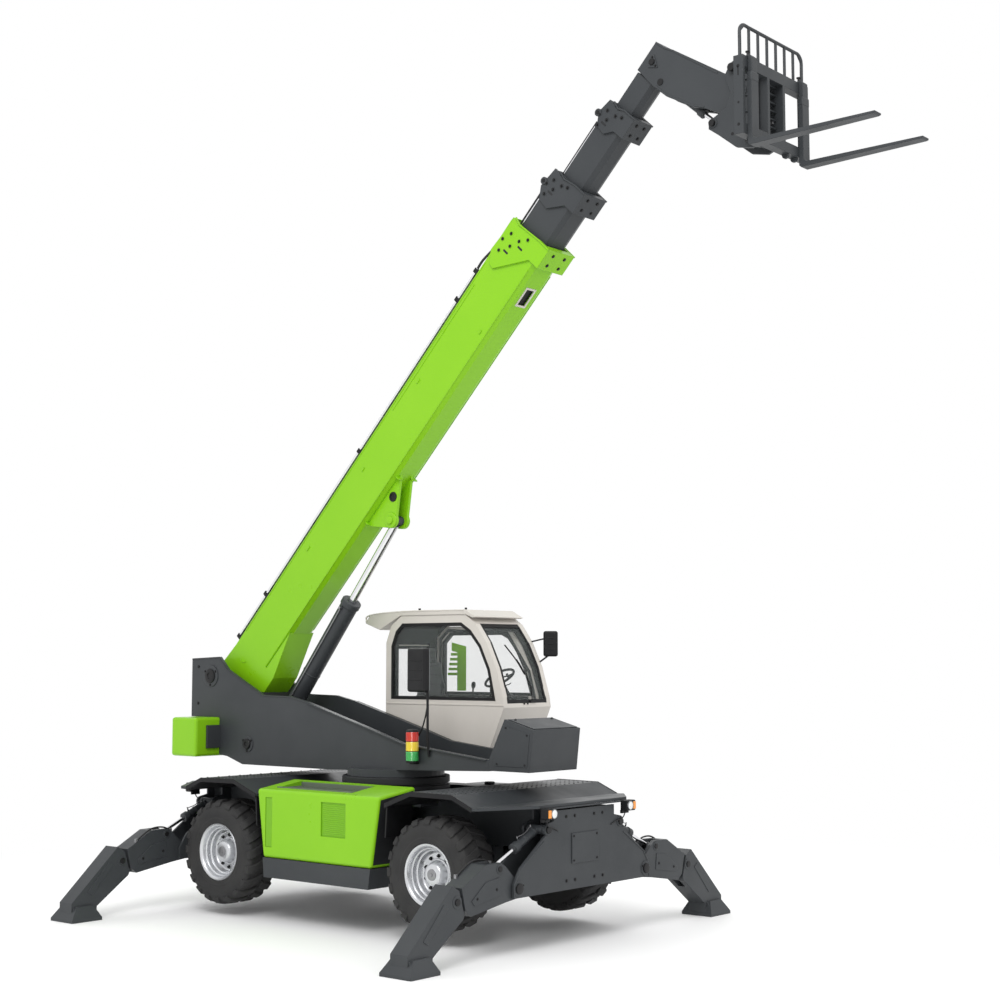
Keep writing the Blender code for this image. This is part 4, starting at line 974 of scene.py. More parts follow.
addEngineCover()
addLeftSteps()
addSlewRing()
for end in ("front", "rear"):
    addDeckTrim(end)
    addPlateTrim(end)
for end, side in corners:
    addStabiliserTrim(end, side)
print("chassis done")


# Turret: pins, folded lips, lamp stack and mirrors

turretSizes = {"side": 0.39, "pins": ((*boomPivot, 0.085), (-2.04, 1.84, 0.062)),
               "lip": [(-1.015, 2.343), (-0.07, 2.086), (0.48, 1.928), (1.66, 1.799)],
               "crest": [(-3.065, 2.835), (-2.572, 2.855), (-2.414, 2.701), (-1.79, 2.410), (-1.32, 2.400),
                         (-1.015, 2.340)],
               "boxSide": [(1.76, 1.735), (2.195, 1.735), (2.235, 2.07), (1.90, 2.155), (1.76, 1.87)],
               "boxBolts": ((1.80, 1.76), (2.17, 1.76), (2.20, 2.06), (1.92, 2.13))}


def addTurretTrim():
    c = turretSizes
    trim = Piece("turret_trim", charcoalPaint)
    for s in (-1, 1):
        side = s * c["side"]
        for x, z, r in c["pins"]:
            trim.use(charcoalPaint).turned(disc(r * 1.55, 0.010, r * 1.48, 0.013),
                                           (x, side - s * 0.002, z), (0, s, 0), 56)
            trim.use(blackBolt).turned([(0, 0), (r, 0), (r, 0.026), (r * 0.9, 0.032), (r * 0.45, 0.032),
                                        (r * 0.40, 0.024), (0, 0.024)],
                                       (x, side - s * 0.002, z), (0, s, 0), 48)
            for k in range(3):
                t = radians(30 + 120 * k)
                trim.hexBolt((x + r * 1.27 * cos(t), side + s * 0.011, z + r * 1.27 * sin(t)), (0, s, 0),
                             0.011, 0.009)
        trim.use(charcoalPaint)
        lower = [(x, z - 0.014) for x, z in c["lip"][::-1]]
        trim.prism(c["lip"] + lower, "y", *onFace(side, s, 0.028), 0.003)
        lower = [(x, z - 0.012) for x, z in c["crest"][::-1]]
        trim.prism(c["crest"] + lower, "y", *onFace(side, s, 0.008), 0.002)
        for x, z in ((-2.95, 2.30), (-2.95, 2.74)):
            trim.use(blackBolt).hexBolt((x, side, z), (0, s, 0), 0.013, 0.010)
    trim.use(charcoalPaint)
    trim.box((-2.548, -2.52), (-0.60, 0.60), (1.78, 2.05), 0.006)
    trim.use(darkPaint)
    trim.box((-3.02, -2.60), (-0.34, 0.34), (2.142, 2.16), 0.004)
    trim.done("turret", "charcoal_paint")
    box = Piece("front_box_trim", charcoalPaint)
    for s in (-1, 1):
        box.use(charcoalPaint).prism(c["boxSide"], "y", *sorted((s * 0.388, s * 0.395)), 0.003)
        for x, z in c["boxBolts"]:
            box.use(blackBolt).hexBolt((x, s * 0.395, z), (0, s, 0), 0.008, 0.006)
        box.use(darkPaint).rod((1.95, s * 0.30, 2.195), (1.98, s * 0.30, 2.214), 0.012, 16)
    box.use(charcoalPaint)
    box.prism([(1.925, 2.2085), (2.262, 2.120), (2.264, 2.129), (1.927, 2.2175)], "y", -0.36, 0.36, 0.002)
    box.done("turret", "charcoal_paint")
    weight = Piece("counterweight_trim", blackBolt)
    for s in (-1, 1):
        for z in (1.80, 2.02):
            weight.hexBolt((-3.0, s * 0.60, z), (-1, 0, 0), 0.018, 0.012)
    weight.done("turret", "lime_paint")


lampSizes = {"place": (0.68, -0.468), "radius": 0.066, "base": (1.715, 1.730, 1.752), "lens": 0.098,
             "pitch": 0.103,
             "ribs": 9, "ribPitch": 0.0105}


def addLampStack():
    c = lampSizes
    x, y = c["place"]
    r, top = c["radius"], c["base"][2] + 3 * c["pitch"]
    lamp = Piece("lamp_stack", blackPlastic)
    lamp.box((x - 0.03, x + 0.03), (y - 0.01, -0.388), (c["base"][0], 1.735), 0.004)
    foot = [(0, c["base"][1]), (r, c["base"][1]), (r, c["base"][2]), (0, c["base"][2])]
    lamp.turned(foot, (x, y, 0), (0, 0, 1), 32)
    for n, coat in enumerate((greenLens, yellowLens, redLens)):
        z = c["base"][2] + n * c["pitch"]
        ribs = []
        for k in range(c["ribs"]):
            ribs += [(r + 0.004, z + 0.004 + k * c["ribPitch"]), (r + 0.0015, z + 0.009 + k * c["ribPitch"])]
        lamp.use(coat).turned([(0, z), (r, z), *ribs, (r, z + c["lens"]), (0, z + c["lens"])], (x, y, 0),
                              (0, 0, 1), 40)
        band = [(0, z + 0.097), (r + 0.001, z + 0.097), (r + 0.001, z + 0.103), (0, z + 0.103)]
        lamp.use(blackPlastic).turned(band, (x, y, 0), (0, 0, 1), 32)
    cap = [(0, top - 0.001), (r + 0.001, top - 0.001), (r - 0.003, top + 0.013), (r - 0.026, top + 0.023),
           (0, top + 0.025)]
    lamp.turned(cap, (x, y, 0), (0, 0, 1), 32)
    lamp.done("turret", "dark_paint")


def addMirror(label, body, centre, size, stalk, turn):
    # a moulded shell with its glass, on a bent stalk
    w, d, h = size
    axes = machineAxes @ Matrix.Translation(centre) @ Matrix.Rotation(radians(turn), 4, "Z")
    shell = Piece(label, blackPlastic, axes)
    shell.box((-w / 2, w / 2), (-d / 2, d / 2), (-h / 2, h / 2), d * 0.36, 4)
    shell.use(mirrorGlass).box((-w / 2 + 0.02, w / 2 - 0.02), (d / 2 - 0.004, d / 2 + 0.002),
                               (-h / 2 + 0.02, h / 2 - 0.02), 0.001)
    shell.use(blackPlastic)
    for k in range(3):
        z = -h * 0.22 + k * h * 0.22
        shell.box((-w / 2 + 0.05, w / 2 - 0.05), (-d / 2 - 0.003, -d / 2 + 0.01), (z - 0.008, z + 0.008),
                  0.003)
    shell.done(body, "dark_paint")
    arm = Piece(label + "_stalk", blackPlastic)
    for path, radius in stalk:
        arm.tube(path, radius, 12)
    arm.done(body, "dark_paint")


addTurretTrim()
addLampStack()
addMirror("near_mirror", "turret", (0.745, -0.445, 2.715), (0.31, 0.085, 0.47),
          [([(0.865, -0.405, 1.80), (0.865, -0.425, 2.0), (0.865, -0.43, 2.4), (0.865, -0.445, 2.72)], 0.014),
           ([(0.72, -0.405, 2.02), (0.78, -0.42, 2.10), (0.83, -0.425, 2.22), (0.862, -0.43, 2.34)],
            0.008)], -8)
addMirror("far_mirror", "turret", (1.13, 1.345, 3.005), (0.165, 0.07, 0.29),
          [([(1.04, 1.262, 2.80), (1.08, 1.30, 2.84), (1.12, 1.335, 2.88)], 0.010),
           ([(0.92, 1.262, 3.03), (1.00, 1.30, 3.05), (1.09, 1.335, 3.07)], 0.009)], 40)
print("turret done")


# Cab: glass in black seals, lining, padded seat, console, handles and wiper

cabSizes = {"near": 0.45, "far": 1.27, "wall": 0.04, "glass": 0.006, "seal": 0.030, "proud": 0.005}
sideGlass = [(-0.51, 2.38), (1.06, 2.38), (0.98, 2.72), (0.85, 2.98), (0.70, 3.15), (0.56, 3.235),
             (-0.34, 3.235),
             (-0.44, 3.15), (-0.51, 2.98)]
doorGlass = [(-0.42, 2.42), (0.96, 2.42), (0.86, 2.72), (0.73, 2.95), (0.61, 3.09), (0.50, 3.14),
             (-0.30, 3.14),
             (-0.42, 3.03)]
doorLight = [(-0.40, 1.90), (0.80, 1.90), (0.95, 2.28), (-0.40, 2.28)]


def pane(glass, seal, outline, axis, outer, inward, depth=0.04):
    # a sheet of glass and the seal round it; outer is the wall's outside face
    c = cabSizes
    middle = outer + inward * depth * 0.45
    glass.prism(insetOutline(outline, 0.006), axis, *sorted((middle, middle + inward * c["glass"])))
    seal.ring(insetOutline(outline, -0.006), insetOutline(outline, c["seal"]), axis,
              *sorted((outer - inward * c["proud"], outer + inward * (depth + 0.004))), 0.002)


def addCabGlass():
    c = cabSizes
    glass, seal = Piece("cab_panes", cabGlass), Piece("cab_seals", blackPlastic)
    pane(glass, seal, sideGlass, "y", c["near"], 1)
    rear = [(0.55, 2.30), (1.17, 2.30), (1.17, 2.98), (0.55, 2.98)]
    pane(glass, seal, rear, "x", -0.60, 1)
    roof = [(-0.25, 0.59), (0.50, 0.59), (0.50, 1.13), (-0.25, 1.13)]
    pane(glass, seal, roof, "z", 3.385, -1, 0.055)
    front = [(1.172, 2.375), (1.158, 2.42), (1.062, 2.735), (0.922, 3.012), (0.79, 3.185)]
    inner = [(x - 0.006, z - 0.003) for x, z in front[::-1]]
    glass.prism(front + inner, "y", c["near"] + 0.082, c["far"] - 0.082)
    for y in (c["near"] + 0.066, c["far"] - 0.100):
        edge = [(x + 0.010, z + 0.004) for x, z in front] + [(x - 0.030, z - 0.012) for x, z in front[::-1]]
        seal.prism(edge, "y", y, y + 0.034, 0.003)
    seal.prism([(1.184, 2.345), (1.178, 2.385), (1.150, 2.385), (1.150, 2.345)], "y", c["near"] + 0.066,
               c["far"] - 0.066, 0.003)
    seal.prism([(0.800, 3.190), (0.750, 3.235), (0.735, 3.205), (0.775, 3.160)], "y", c["near"] + 0.066,
               c["far"] - 0.066, 0.003)
    glass.done("turret", "cab_paint")
    seal.done("turret", "dark_paint")
    glass, seal = Piece("door_panes", cabGlass), Piece("door_seals", blackPlastic)
    pane(glass, seal, doorGlass, "y", c["far"], -1)
    pane(glass, seal, doorLight, "y", c["far"], -1)
    glass.done("cab_door", "cab_paint")
    seal.done("cab_door", "dark_paint")
    film = Piece("door_film", limePaint)
    inside = c["far"] - 0.026
    film.prism([(-0.20, 2.46), (-0.06, 2.46), (-0.06, 2.98), (-0.29, 3.03), (-0.29, 2.93), (-0.20, 2.91)],
               "y", inside - 0.0012, inside, 0)
    for k in range(5):
        z = 2.64 + k * 0.058
        film.prism([(-0.35 + k * 0.012, z), (-0.198, z), (-0.198, z + 0.032),
                    (-0.35 + k * 0.012, z + 0.032)], "y", inside - 0.0012, inside, 0)
    film.done("cab_door", "lime_paint")


def addCabLining():
    c = cabSizes
    near, far = c["near"] + c["wall"], c["far"] - c["wall"]
    lining = Piece("cab_lining", softTrim)
    lining.box((-0.54, 0.88), (near + 0.0008, far - 0.001), (1.7608, 1.768), 0.002)
    belt = [(-0.545, 1.775), (0.885, 1.775), (1.13, 2.29), (1.12, 2.345), (-0.545, 2.345)]
    lining.prism(belt, "y", near + 0.0008, near + 0.012, 0.003)
    lining.box((-0.5592, -0.548), (near + 0.013, far - 0.013), (1.775, 2.285), 0.003)
    for x0, x1, y0, y1 in ((-0.34, -0.262, near, far), (0.512, 0.62, near, far), (-0.262, 0.512, near, 0.585),
                           (-0.262, 0.512, 1.135, far)):
        lining.box((x0, x1), (y0 + 0.001, y1 - 0.001), (3.262, 3.289), 0.003)
    lining.prism([(-0.553, 3.0), (-0.478, 3.19), (-0.35, 3.262), (-0.35, 3.285), (-0.50, 3.205),
                  (-0.559, 3.03)], "y",
                 near + 0.001, far - 0.001, 0.003)
    lining.prism([(0.62, 3.262), (0.745, 3.160), (0.735, 3.14), (0.60, 3.24)], "y", near + 0.001,
                 far - 0.001, 0.003)
    lining.box((-0.555, -0.530), (near + 0.012, near + 0.10), (2.345, 3.02), 0.004)
    lining.box((-0.555, -0.530), (far - 0.10, far - 0.012), (2.345, 3.02), 0.004)
    outer = [(1.135, 2.30), (1.118, 2.42), (1.022, 2.73), (0.885, 2.99), (0.745, 3.155), (0.62, 3.262)]
    inner = [(0.55, 3.23), (0.672, 3.155), (0.812, 2.98), (0.952, 2.72), (1.052, 2.42), (1.070, 2.30)]
    lining.prism(outer + inner, "y", far - 0.010, far - 0.001, 0.002)
    lining.prism([(-0.553, 2.345), (-0.505, 2.345), (-0.505, 3.09), (-0.345, 3.225), (-0.345, 3.262),
                  (-0.47, 3.19), (-0.553, 3.03)],
                 "y", far - 0.010, far - 0.001, 0.002)
    lining.use(blackPlastic)
    lining.box((0.40, 0.58), (0.55, 0.75), (3.245, 3.263), 0.006)
    lining.box((-0.30, 0.10), (near + 0.014, near + 0.14), (2.10, 2.30), 0.015, 3)
    lining.tube([(0.30, near + 0.045, 2.29), (0.30, near + 0.05, 2.37), (0.27, near + 0.06, 2.42)], 0.010, 12)
    lining.tube([(0.27, near + 0.06, 2.40), (0.265, near + 0.06, 2.45)], 0.020, 16)
    lining.tube([(-0.46, near - 0.052, 2.52), (-0.46, near - 0.085, 2.54), (-0.46, near - 0.085, 2.70),
                 (-0.46, near - 0.052, 2.72)], 0.009, 12)
    lining.done("turret", "dark_paint")
    trim = Piece("door_lining", softTrim)
    y = far - 0.0005
    leaf = [(-0.494, 1.806), (0.854, 1.806), (1.045, 2.31), (0.94, 2.70), (0.60, 3.16), (-0.34, 3.20),
            (-0.48, 3.08)]
    trim.ring(insetOutline(leaf, 0.012), insetOutline(leaf, 0.050), "y", y - 0.010, y, 0.003)
    trim.box((-0.42, 0.90), (y - 0.016, y), (2.29, 2.41), 0.006)
    trim.use(blackPlastic)
    trim.tube([(-0.36, y - 0.012, 2.34), (-0.34, y - 0.05, 2.345), (-0.14, y - 0.05, 2.345),
               (-0.12, y - 0.012, 2.34)], 0.010, 12)
    trim.box((-0.02, 0.16), (c["far"] - 0.002, c["far"] + 0.010), (2.325, 2.385), 0.006)
    trim.done("cab_door", "dark_paint")


def puffed(name, low, high, corner, swell):
    # a stuffed block: rounded, filled by pressure, then kept close to its own place
    shape = Piece(name, seatCloth)
    shape.box(*zip(low, high), corner, 4)
    pad = shape.make()
    remesh = pad.modifiers.new("remesh", "REMESH")
    remesh.mode = "VOXEL"
    remesh.voxel_size = 0.006
    bpy.context.view_layer.update()
    body = bpy.data.meshes.new_from_object(pad.evaluated_get(bpy.context.evaluated_depsgraph_get()))
    pad.modifiers.clear()
    pad.data = body
    start = [v.co.copy() for v in body.vertices]
    cloth = pad.modifiers.new("cloth", "CLOTH")
    cloth.settings.use_pressure = True
    cloth.settings.uniform_pressure_force = 4
    cloth.settings.quality = 4
    cloth.settings.effector_weights.gravity = 0
    for step in range(1, 13):
        bpy.context.scene.frame_set(step)
    body = bpy.data.meshes.new_from_object(pad.evaluated_get(bpy.context.evaluated_depsgraph_get()))
    pad.modifiers.clear()
    pad.data = body
    bpy.context.scene.frame_set(1)
    for vertex, home in zip(body.vertices, start):
        move = vertex.co - home
        if move.length > swell:
            vertex.co = home + move.normalized() * swell
    return pad


def addSeat():
    y = (cabSizes["near"] + cabSizes["far"]) / 2
    pads = (("seat_cushion", (-0.20, y - 0.225, 2.105), (0.215, y + 0.225, 2.215), 0.035, None),
            ("seat_backrest", (-0.05, -0.21, -0.31), (0.05, 0.21, 0.31), 0.035, (-0.272, y, 2.49)),
            ("seat_headrest", (-0.042, -0.125, -0.09), (0.042, 0.125, 0.09), 0.03, (-0.325, y, 2.865)))
    for name, low, high, corner, place in pads:
        pad = puffed(name, low, high, corner, 0.010)
        if place:
            lean = Matrix.Rotation(radians(-9), 4, "Y")
            home = machineAxes @ Matrix.Translation(place) @ lean @ machineAxes.inverted()
            pad.data.transform(home)
        for vertex in pad.data.vertices:
            # sewn channels run across the pad
            p = vertex.co - machineAxes.translation
            along = p.x if name == "seat_cushion" else p.z
            groove = max(0.0, cos(along * 2 * pi / 0.11)) ** 14
            middle = Vector((0.0, y, 2.16)) if name == "seat_cushion" else Vector((-0.29, y, p.z))
            pull = middle - p
            if abs(p.y - y) < 0.15 and name != "seat_headrest":
                vertex.co += pull.normalized() * 0.006 * groove
        pad.data.materials.clear()
        pad.data.materials.append(seatCloth)
        pad.data.shade_smooth()
        settle(pad, "turret", "seat_cloth", "cab_seat")
    base = Piece("seat_frame", blackPlastic)
    base.box((-0.18, 0.17), (y - 0.19, y + 0.19), (2.02, 2.10), 0.015, 3)
    for k in range(6):
        base.box((-0.165 + k * 0.004, 0.155 - k * 0.004), (y - 0.175 + k * 0.003, y + 0.175 - k * 0.003),
                 (1.84 + k * 0.030, 1.864 + k * 0.030), 0.010, 3)
    base.box((-0.20, 0.20), (y - 0.20, y + 0.20), (1.769, 1.84), 0.012, 3)
    base.box((-0.345, -0.325), (y - 0.16, y + 0.16), (2.20, 2.74), 0.008)
    for s in (-1, 1):
        base.rod((-0.315, y + s * 0.05, 2.72), (-0.33, y + s * 0.05, 2.80), 0.007, 16)
        base.box((-0.24, 0.20), sorted((y + s * 0.24, y + s * 0.30)), (2.365, 2.42), 0.018, 4)
        base.box((-0.24, -0.19), sorted((y + s * 0.235, y + s * 0.275)), (2.16, 2.38), 0.008)
        base.rod((0.14, y + s * 0.27, 2.415), (0.15, y + s * 0.27, 2.50), 0.010, 16)
        base.turned([(0, 0), (0.018, 0.006), (0.026, 0.035), (0.024, 0.065), (0.012, 0.078), (0, 0.080)],
                    (0.15, y + s * 0.27, 2.49), (0.1, 0, 1), 24)
    base.done("turret", "dark_paint", "cab_seat")


def addConsole():
    y = (cabSizes["near"] + cabSizes["far"]) / 2
    desk = Piece("cab_console_shell", blackPlastic)
    desk.prism([(0.60, 1.770), (0.87, 1.770), (0.955, 2.20), (0.90, 2.41), (0.81, 2.455), (0.70, 2.30)], "y",
               y - 0.165, y + 0.165, 0.02, 3)
    desk.use(softTrim).prism([(0.715, 2.30), (0.80, 2.425), (0.79, 2.435), (0.700, 2.315)], "y", y - 0.12,
                             y + 0.12, 0.003)
    centre = Vector((0.78, y, 2.62))
    lean = Vector((-0.55, 0, 0.84)).normalized()
    desk.use(blackPlastic).rod(centre - lean * 0.29, centre - lean * 0.01, 0.026, 24)
    ring = [(0.175 + px, pz) for px, pz in arc((0, 0), 0.0145, 0, 345, 15)]
    desk.turned(ring, centre, lean, 64)
    desk.turned([(0, -0.02), (0.045, -0.018), (0.050, 0.004), (0.036, 0.016), (0, 0.020)], centre, lean, 32)
    across = Vector((0, 1, 0))
    fore = lean.cross(across)
    for t in (90, 210, 330):
        ray = across * cos(radians(t)) + fore * sin(radians(t))
        desk.tube([centre + ray * 0.03, centre + ray * 0.10 - lean * 0.006, centre + ray * 0.172], 0.009, 10)
    desk.rod(centre + across * 0.16 + lean * 0.01, centre + across * 0.16 + lean * 0.055, 0.014, 20)
    desk.tube([centre - lean * 0.10 + across * 0.02, centre - lean * 0.09 + across * 0.10,
               centre - lean * 0.07 + across * 0.15], 0.006, 8)
    desk.box((0.885, 0.925), (y - 0.30, y - 0.14), (2.42, 2.54), 0.010, 3)
    desk.use(mirrorGlass).box((0.880, 0.886), (y - 0.288, y - 0.152), (2.432, 2.528), 0.001)
    desk.use(blackPlastic).rod((0.90, y - 0.20, 2.42), (0.88, y - 0.14, 2.34), 0.009, 12)
    for s in (-1, 1):
        desk.box((0.50, 0.58), sorted((y + s * 0.06, y + s * 0.14)), (1.80, 1.815), 0.004)
        desk.rod((0.57, y + s * 0.10, 1.805), (0.64, y + s * 0.10, 1.86), 0.007, 12)
    desk.done("turret", "dark_paint", "cab_console")


def addCabTrim():
    trim = Piece("cab_trim", creamPaint)
    c = cabSizes
    trim.prism([(-0.595, 2.315), (1.185, 2.315), (1.186, 2.335), (-0.595, 2.335)], "y", c["near"] - 0.004,
               c["near"] + 0.002, 0.001)
    trim.tube([(-0.925, 0.445, 3.262), (-0.865, 0.445, 3.342), (-0.30, 0.445, 3.378), (0.60, 0.445, 3.378)],
              0.010, 10)
    trim.use(blackPlastic)
    for x, z in ((-0.606, 2.86), (-0.606, 2.02)):
        for y in (0.52, 1.20):
            trim.rod((x + 0.008, y, z), (x - 0.030, y, z), 0.016, 20)
    for x, y in ((-0.12, 0.50), (0.50, 0.60)):
        trim.rod((x, y, 3.38), (x, y, 3.412), 0.014, 16)
    for y in (0.80, 0.86):
        trim.rod((1.178, y, 2.34), (1.196, y, 2.338), 0.009, 16)
    trim.box((1.170, 1.200), (0.90, 1.00), (2.35, 2.375), 0.006)
    trim.tube([(1.185, 0.95, 2.37), (1.165, 0.93, 2.55), (1.10, 0.86, 2.74), (1.06, 0.82, 2.83)], 0.006, 8)
    trim.tube([(1.125, 0.885, 2.66), (1.06, 0.815, 2.82), (0.97, 0.72, 2.99)], 0.0075, 8)
    trim.done("turret", "cab_paint")


addCabGlass()
addCabLining()
addSeat()
addConsole()
addCabTrim()
print("cab done")


# Boom: bolts and flanges on the collars, ridges, clamps, hoses and pins.
# Its places are along, across and above the boom.

boomSizes = {
    "base": {"half": 0.190, "low": -0.489, "high": 0.104, "front": 6.735, "drop": 0.075},
    "second": {"half": 0.160, "low": -0.463, "high": -0.039, "front": 7.42, "drop": 0.065},
    "third": {"half": 0.130, "low": -0.4386, "high": -0.1036, "front": 8.33, "drop": 0.065},
    "plate": 0.025, "tubeY": -0.12, "tubeZ": 0.139, "tubeEnds": (0.45, 6.0)}


def collarTrim(piece, c, bolts, slotShades, coat):
    # bolt heads, adjusting slots drawn as flat dark outlines (painted shade of their openings), the folded
    # front flange and the lower box's screws
    face, front = c["half"] + boomSizes["plate"], c["front"]
    for s in (-1, 1):
        for back, drop in bolts:
            piece.use(coat).turned(disc(0.024, 0.005),
                                   (front - back, s * (face - 0.002), c["high"] - drop), (0, s, 0), 24)
            piece.use(blackBolt).hexBolt((front - back, s * (face + 0.003), c["high"] - drop), (0, s, 0),
                                         0.0125, 0.012)
        # each slot is a thin dark outline on the face: painted shade where the opening is
        for back, drop in slotShades:
            x, z = front - back, c["high"] - drop
            ends = arc((x, z + 0.030), 0.011, 0, 180, 8) + arc((x, z - 0.030), 0.011, 180, 360, 8)
            piece.use(darkPaint).prism(ends, "y", *sorted((s * (face - 0.002), s * (face + 0.0015))))
        piece.use(coat)
        edge = [(front - 0.012, c["high"] - 0.06), (front + 0.002, c["high"] - 0.06),
                (front - 0.028, c["high"] - 0.15),
                (front + 0.003, c["low"] + 0.10), (front + 0.003, c["low"] - c["drop"]),
                (front - 0.012, c["low"] - c["drop"]),
                (front - 0.012, c["low"] + 0.10), (front - 0.044, c["high"] - 0.15)]
        piece.prism(edge, "y", *sorted((s * (face - 0.004), s * (face + 0.014))), 0.002)
        piece.use(blackBolt)
        for back in (0.06, 0.17):
            piece.hexBolt((front - back, s * (c["half"] + 0.010), c["low"] - c["drop"] * 0.45), (0, s, 0),
                          0.014, 0.012)
    for y in (-0.5, 0.5):
        for back in (0.06, 0.18):
            piece.use(blackBolt).hexBolt((front - back, y * c["half"], c["low"] - c["drop"]), (0, 0, -1),
                                         0.014, 0.012)
    piece.use(coat)


def addBoomTrim():
    c = boomSizes["base"]
    trim = Piece("boom_base_trim", limePaint, boomAxes)
    collarTrim(trim, c, ((0.40, 0.10), (0.28, 0.06), (0.17, 0.12), (0.28, 0.20), (0.17, 0.27), (0.09, 0.36)),
               ((0.36, 0.19), (0.22, 0.33)), limePaint)
    for s in (-1, 1):
        face = s * c["half"]
        trim.box((0.66, 6.12), onFace(face, s, 0.0045), (c["high"] - 0.020, c["high"] - 0.005), 0.0015)
        trim.box((1.20, 6.40), onFace(face, s, 0.0035), (c["low"] + 0.024, c["low"] + 0.036), 0.0015)
        for along, above, w in ((2.05, -0.02, 0.07), (3.30, -0.06, 0.05), (4.55, -0.03, 0.06),
                                (5.50, -0.38, 0.05)):
            trim.box((along, along + w), onFace(face, s, 0.010), (above - 0.012, above + 0.012), 0.003)
        trim.box((4.10, 5.85), onFace(face, s, 0.006), (c["high"] - 0.060, c["high"] - 0.044), 0.002)
        arch = arc((0.42, -0.10), 0.075, 150, 260, 12)
        trim.prism(arch + [(0.42 + (x - 0.42) * 0.86, -0.10 + (z + 0.10) * 0.86) for x, z in arch[::-1]], "y",
                   *onFace(face, s, 0.006), 0.001)
        trim.turned(disc(0.088, 0.012, 0.080, 0.016), (3.15, s * 0.103, -0.734), (0, s, 0), 40)
        trim.turned(disc(0.046, 0.022, 0.040, 0.027), (3.15, s * 0.115, -0.734), (0, s, 0), 36)
        # a flat black ring and disc drawn for the hole above the lift eye: painted shade
        trim.use(blackBolt).turned([(0, 0), (0.056, 0), (0.056, 0.008), (0.034, 0.010), (0.034, 0.004),
                                    (0, 0.004)],
                                   (3.36, s * 0.104, -0.575), (0, s, 0), 36)
        trim.use(limePaint)
        for x in (2.90, 3.58):
            trim.box((x - 0.006, x + 0.006), sorted((s * 0.07, s * 0.16)),
                     (c["low"] - 0.045, c["low"] + 0.003), 0.002)
    trim.use(creamPaint).ring([(5.978, -0.082), (6.222, -0.082), (6.222, 0.082), (5.978, 0.082)],
                              [(6.002, -0.058), (6.198, -0.058), (6.198, 0.058), (6.002, 0.058)], "z",
                              c["low"] - 0.006, c["low"] + 0.002, 0.001)
    trim.use(blackPlastic).box((5.995, 6.205), (-0.062, 0.062), (c["low"] + 0.020, c["low"] + 0.030), 0.001)
    trim.done("boom", "lime_paint")

    y, z = boomSizes["tubeY"], boomSizes["tubeZ"]
    start, end = boomSizes["tubeEnds"]
    pipe = Piece("boom_service_pipe", hardChrome, boomAxes)
    pipe.rod((start, y, z), (end, y, z), 0.018, 32)
    pipe.use(zincBolt)
    for at in (start + 0.015, end - 0.045):
        pipe.rod((at, y, z), (at + 0.03, y, z), 0.025, 6)
    pipe.use(blackPlastic)
    for at in (0.55, 1.24, 2.30, 4.10, 5.85):
        pipe.box((at + 0.01, at + 0.07), (y - 0.030, y + 0.030), (z - 0.030, z + 0.026), 0.006, 3)
        pipe.use(zincBolt).box((at + 0.008, at + 0.072), (y - 0.031, y + 0.031), (z + 0.025, z + 0.029),
                               0.001)
        for s in (-1, 1):
            pipe.hexBolt((at + 0.04, y + s * 0.021, z + 0.029), (0, 0, 1), 0.006, 0.006)
        pipe.use(blackPlastic)
    pipe.use(hoseRubber)
    pipe.tube([(end - 0.01, y, z), (end + 0.12, y, z + 0.004), (end + 0.28, y + 0.015, z - 0.006),
               (end + 0.42, y + 0.02, 0.112)], 0.014, 12)
    pipe.tube([(start + 0.01, y, z), (start - 0.08, y, z - 0.006), (start - 0.15, y, 0.085),
               (start - 0.17, y, 0.02)], 0.014, 12)
    pipe.tube([(start + 0.20, y + 0.06, 0.118), (start + 0.9, y + 0.055, 0.128),
               (start + 3.0, y + 0.055, 0.122),
               (end - 0.5, y + 0.055, 0.128), (end + 0.2, y + 0.06, 0.118),
               (end + 0.45, y + 0.06, 0.115)], 0.011, 10, 10)
    pipe.done("boom", "chrome", "boom_service_tube")
    edge = Piece("boom_edge_pipe", hardChrome, boomAxes)
    y, z, high = -0.170, 0.150, boomSizes["base"]["high"]
    edge.rod((0.50, y, z), (end, y, z), 0.017, 32)
    edge.use(darkPaint).box((0.52, end - 0.02), (y - 0.012, y + 0.012), (high - 0.002, high + 0.016), 0.003)
    edge.use(blackPlastic)
    for at, tall in ((0.50, 0.024), (1.18, 0.034), (3.40, 0.022), (5.55, 0.030), (5.94, 0.024)):
        edge.box((at, at + 0.055), (y - 0.020, y + 0.022), (high - 0.003, z + tall), 0.006, 3)
    edge.use(hoseRubber).tube([(end - 0.02, y, z), (end + 0.10, y, z + 0.002),
                               (end + 0.22, y + 0.02, z - 0.008), (end + 0.36, y + 0.03, 0.118)], 0.014, 12)
    edge.done("boom", "chrome")

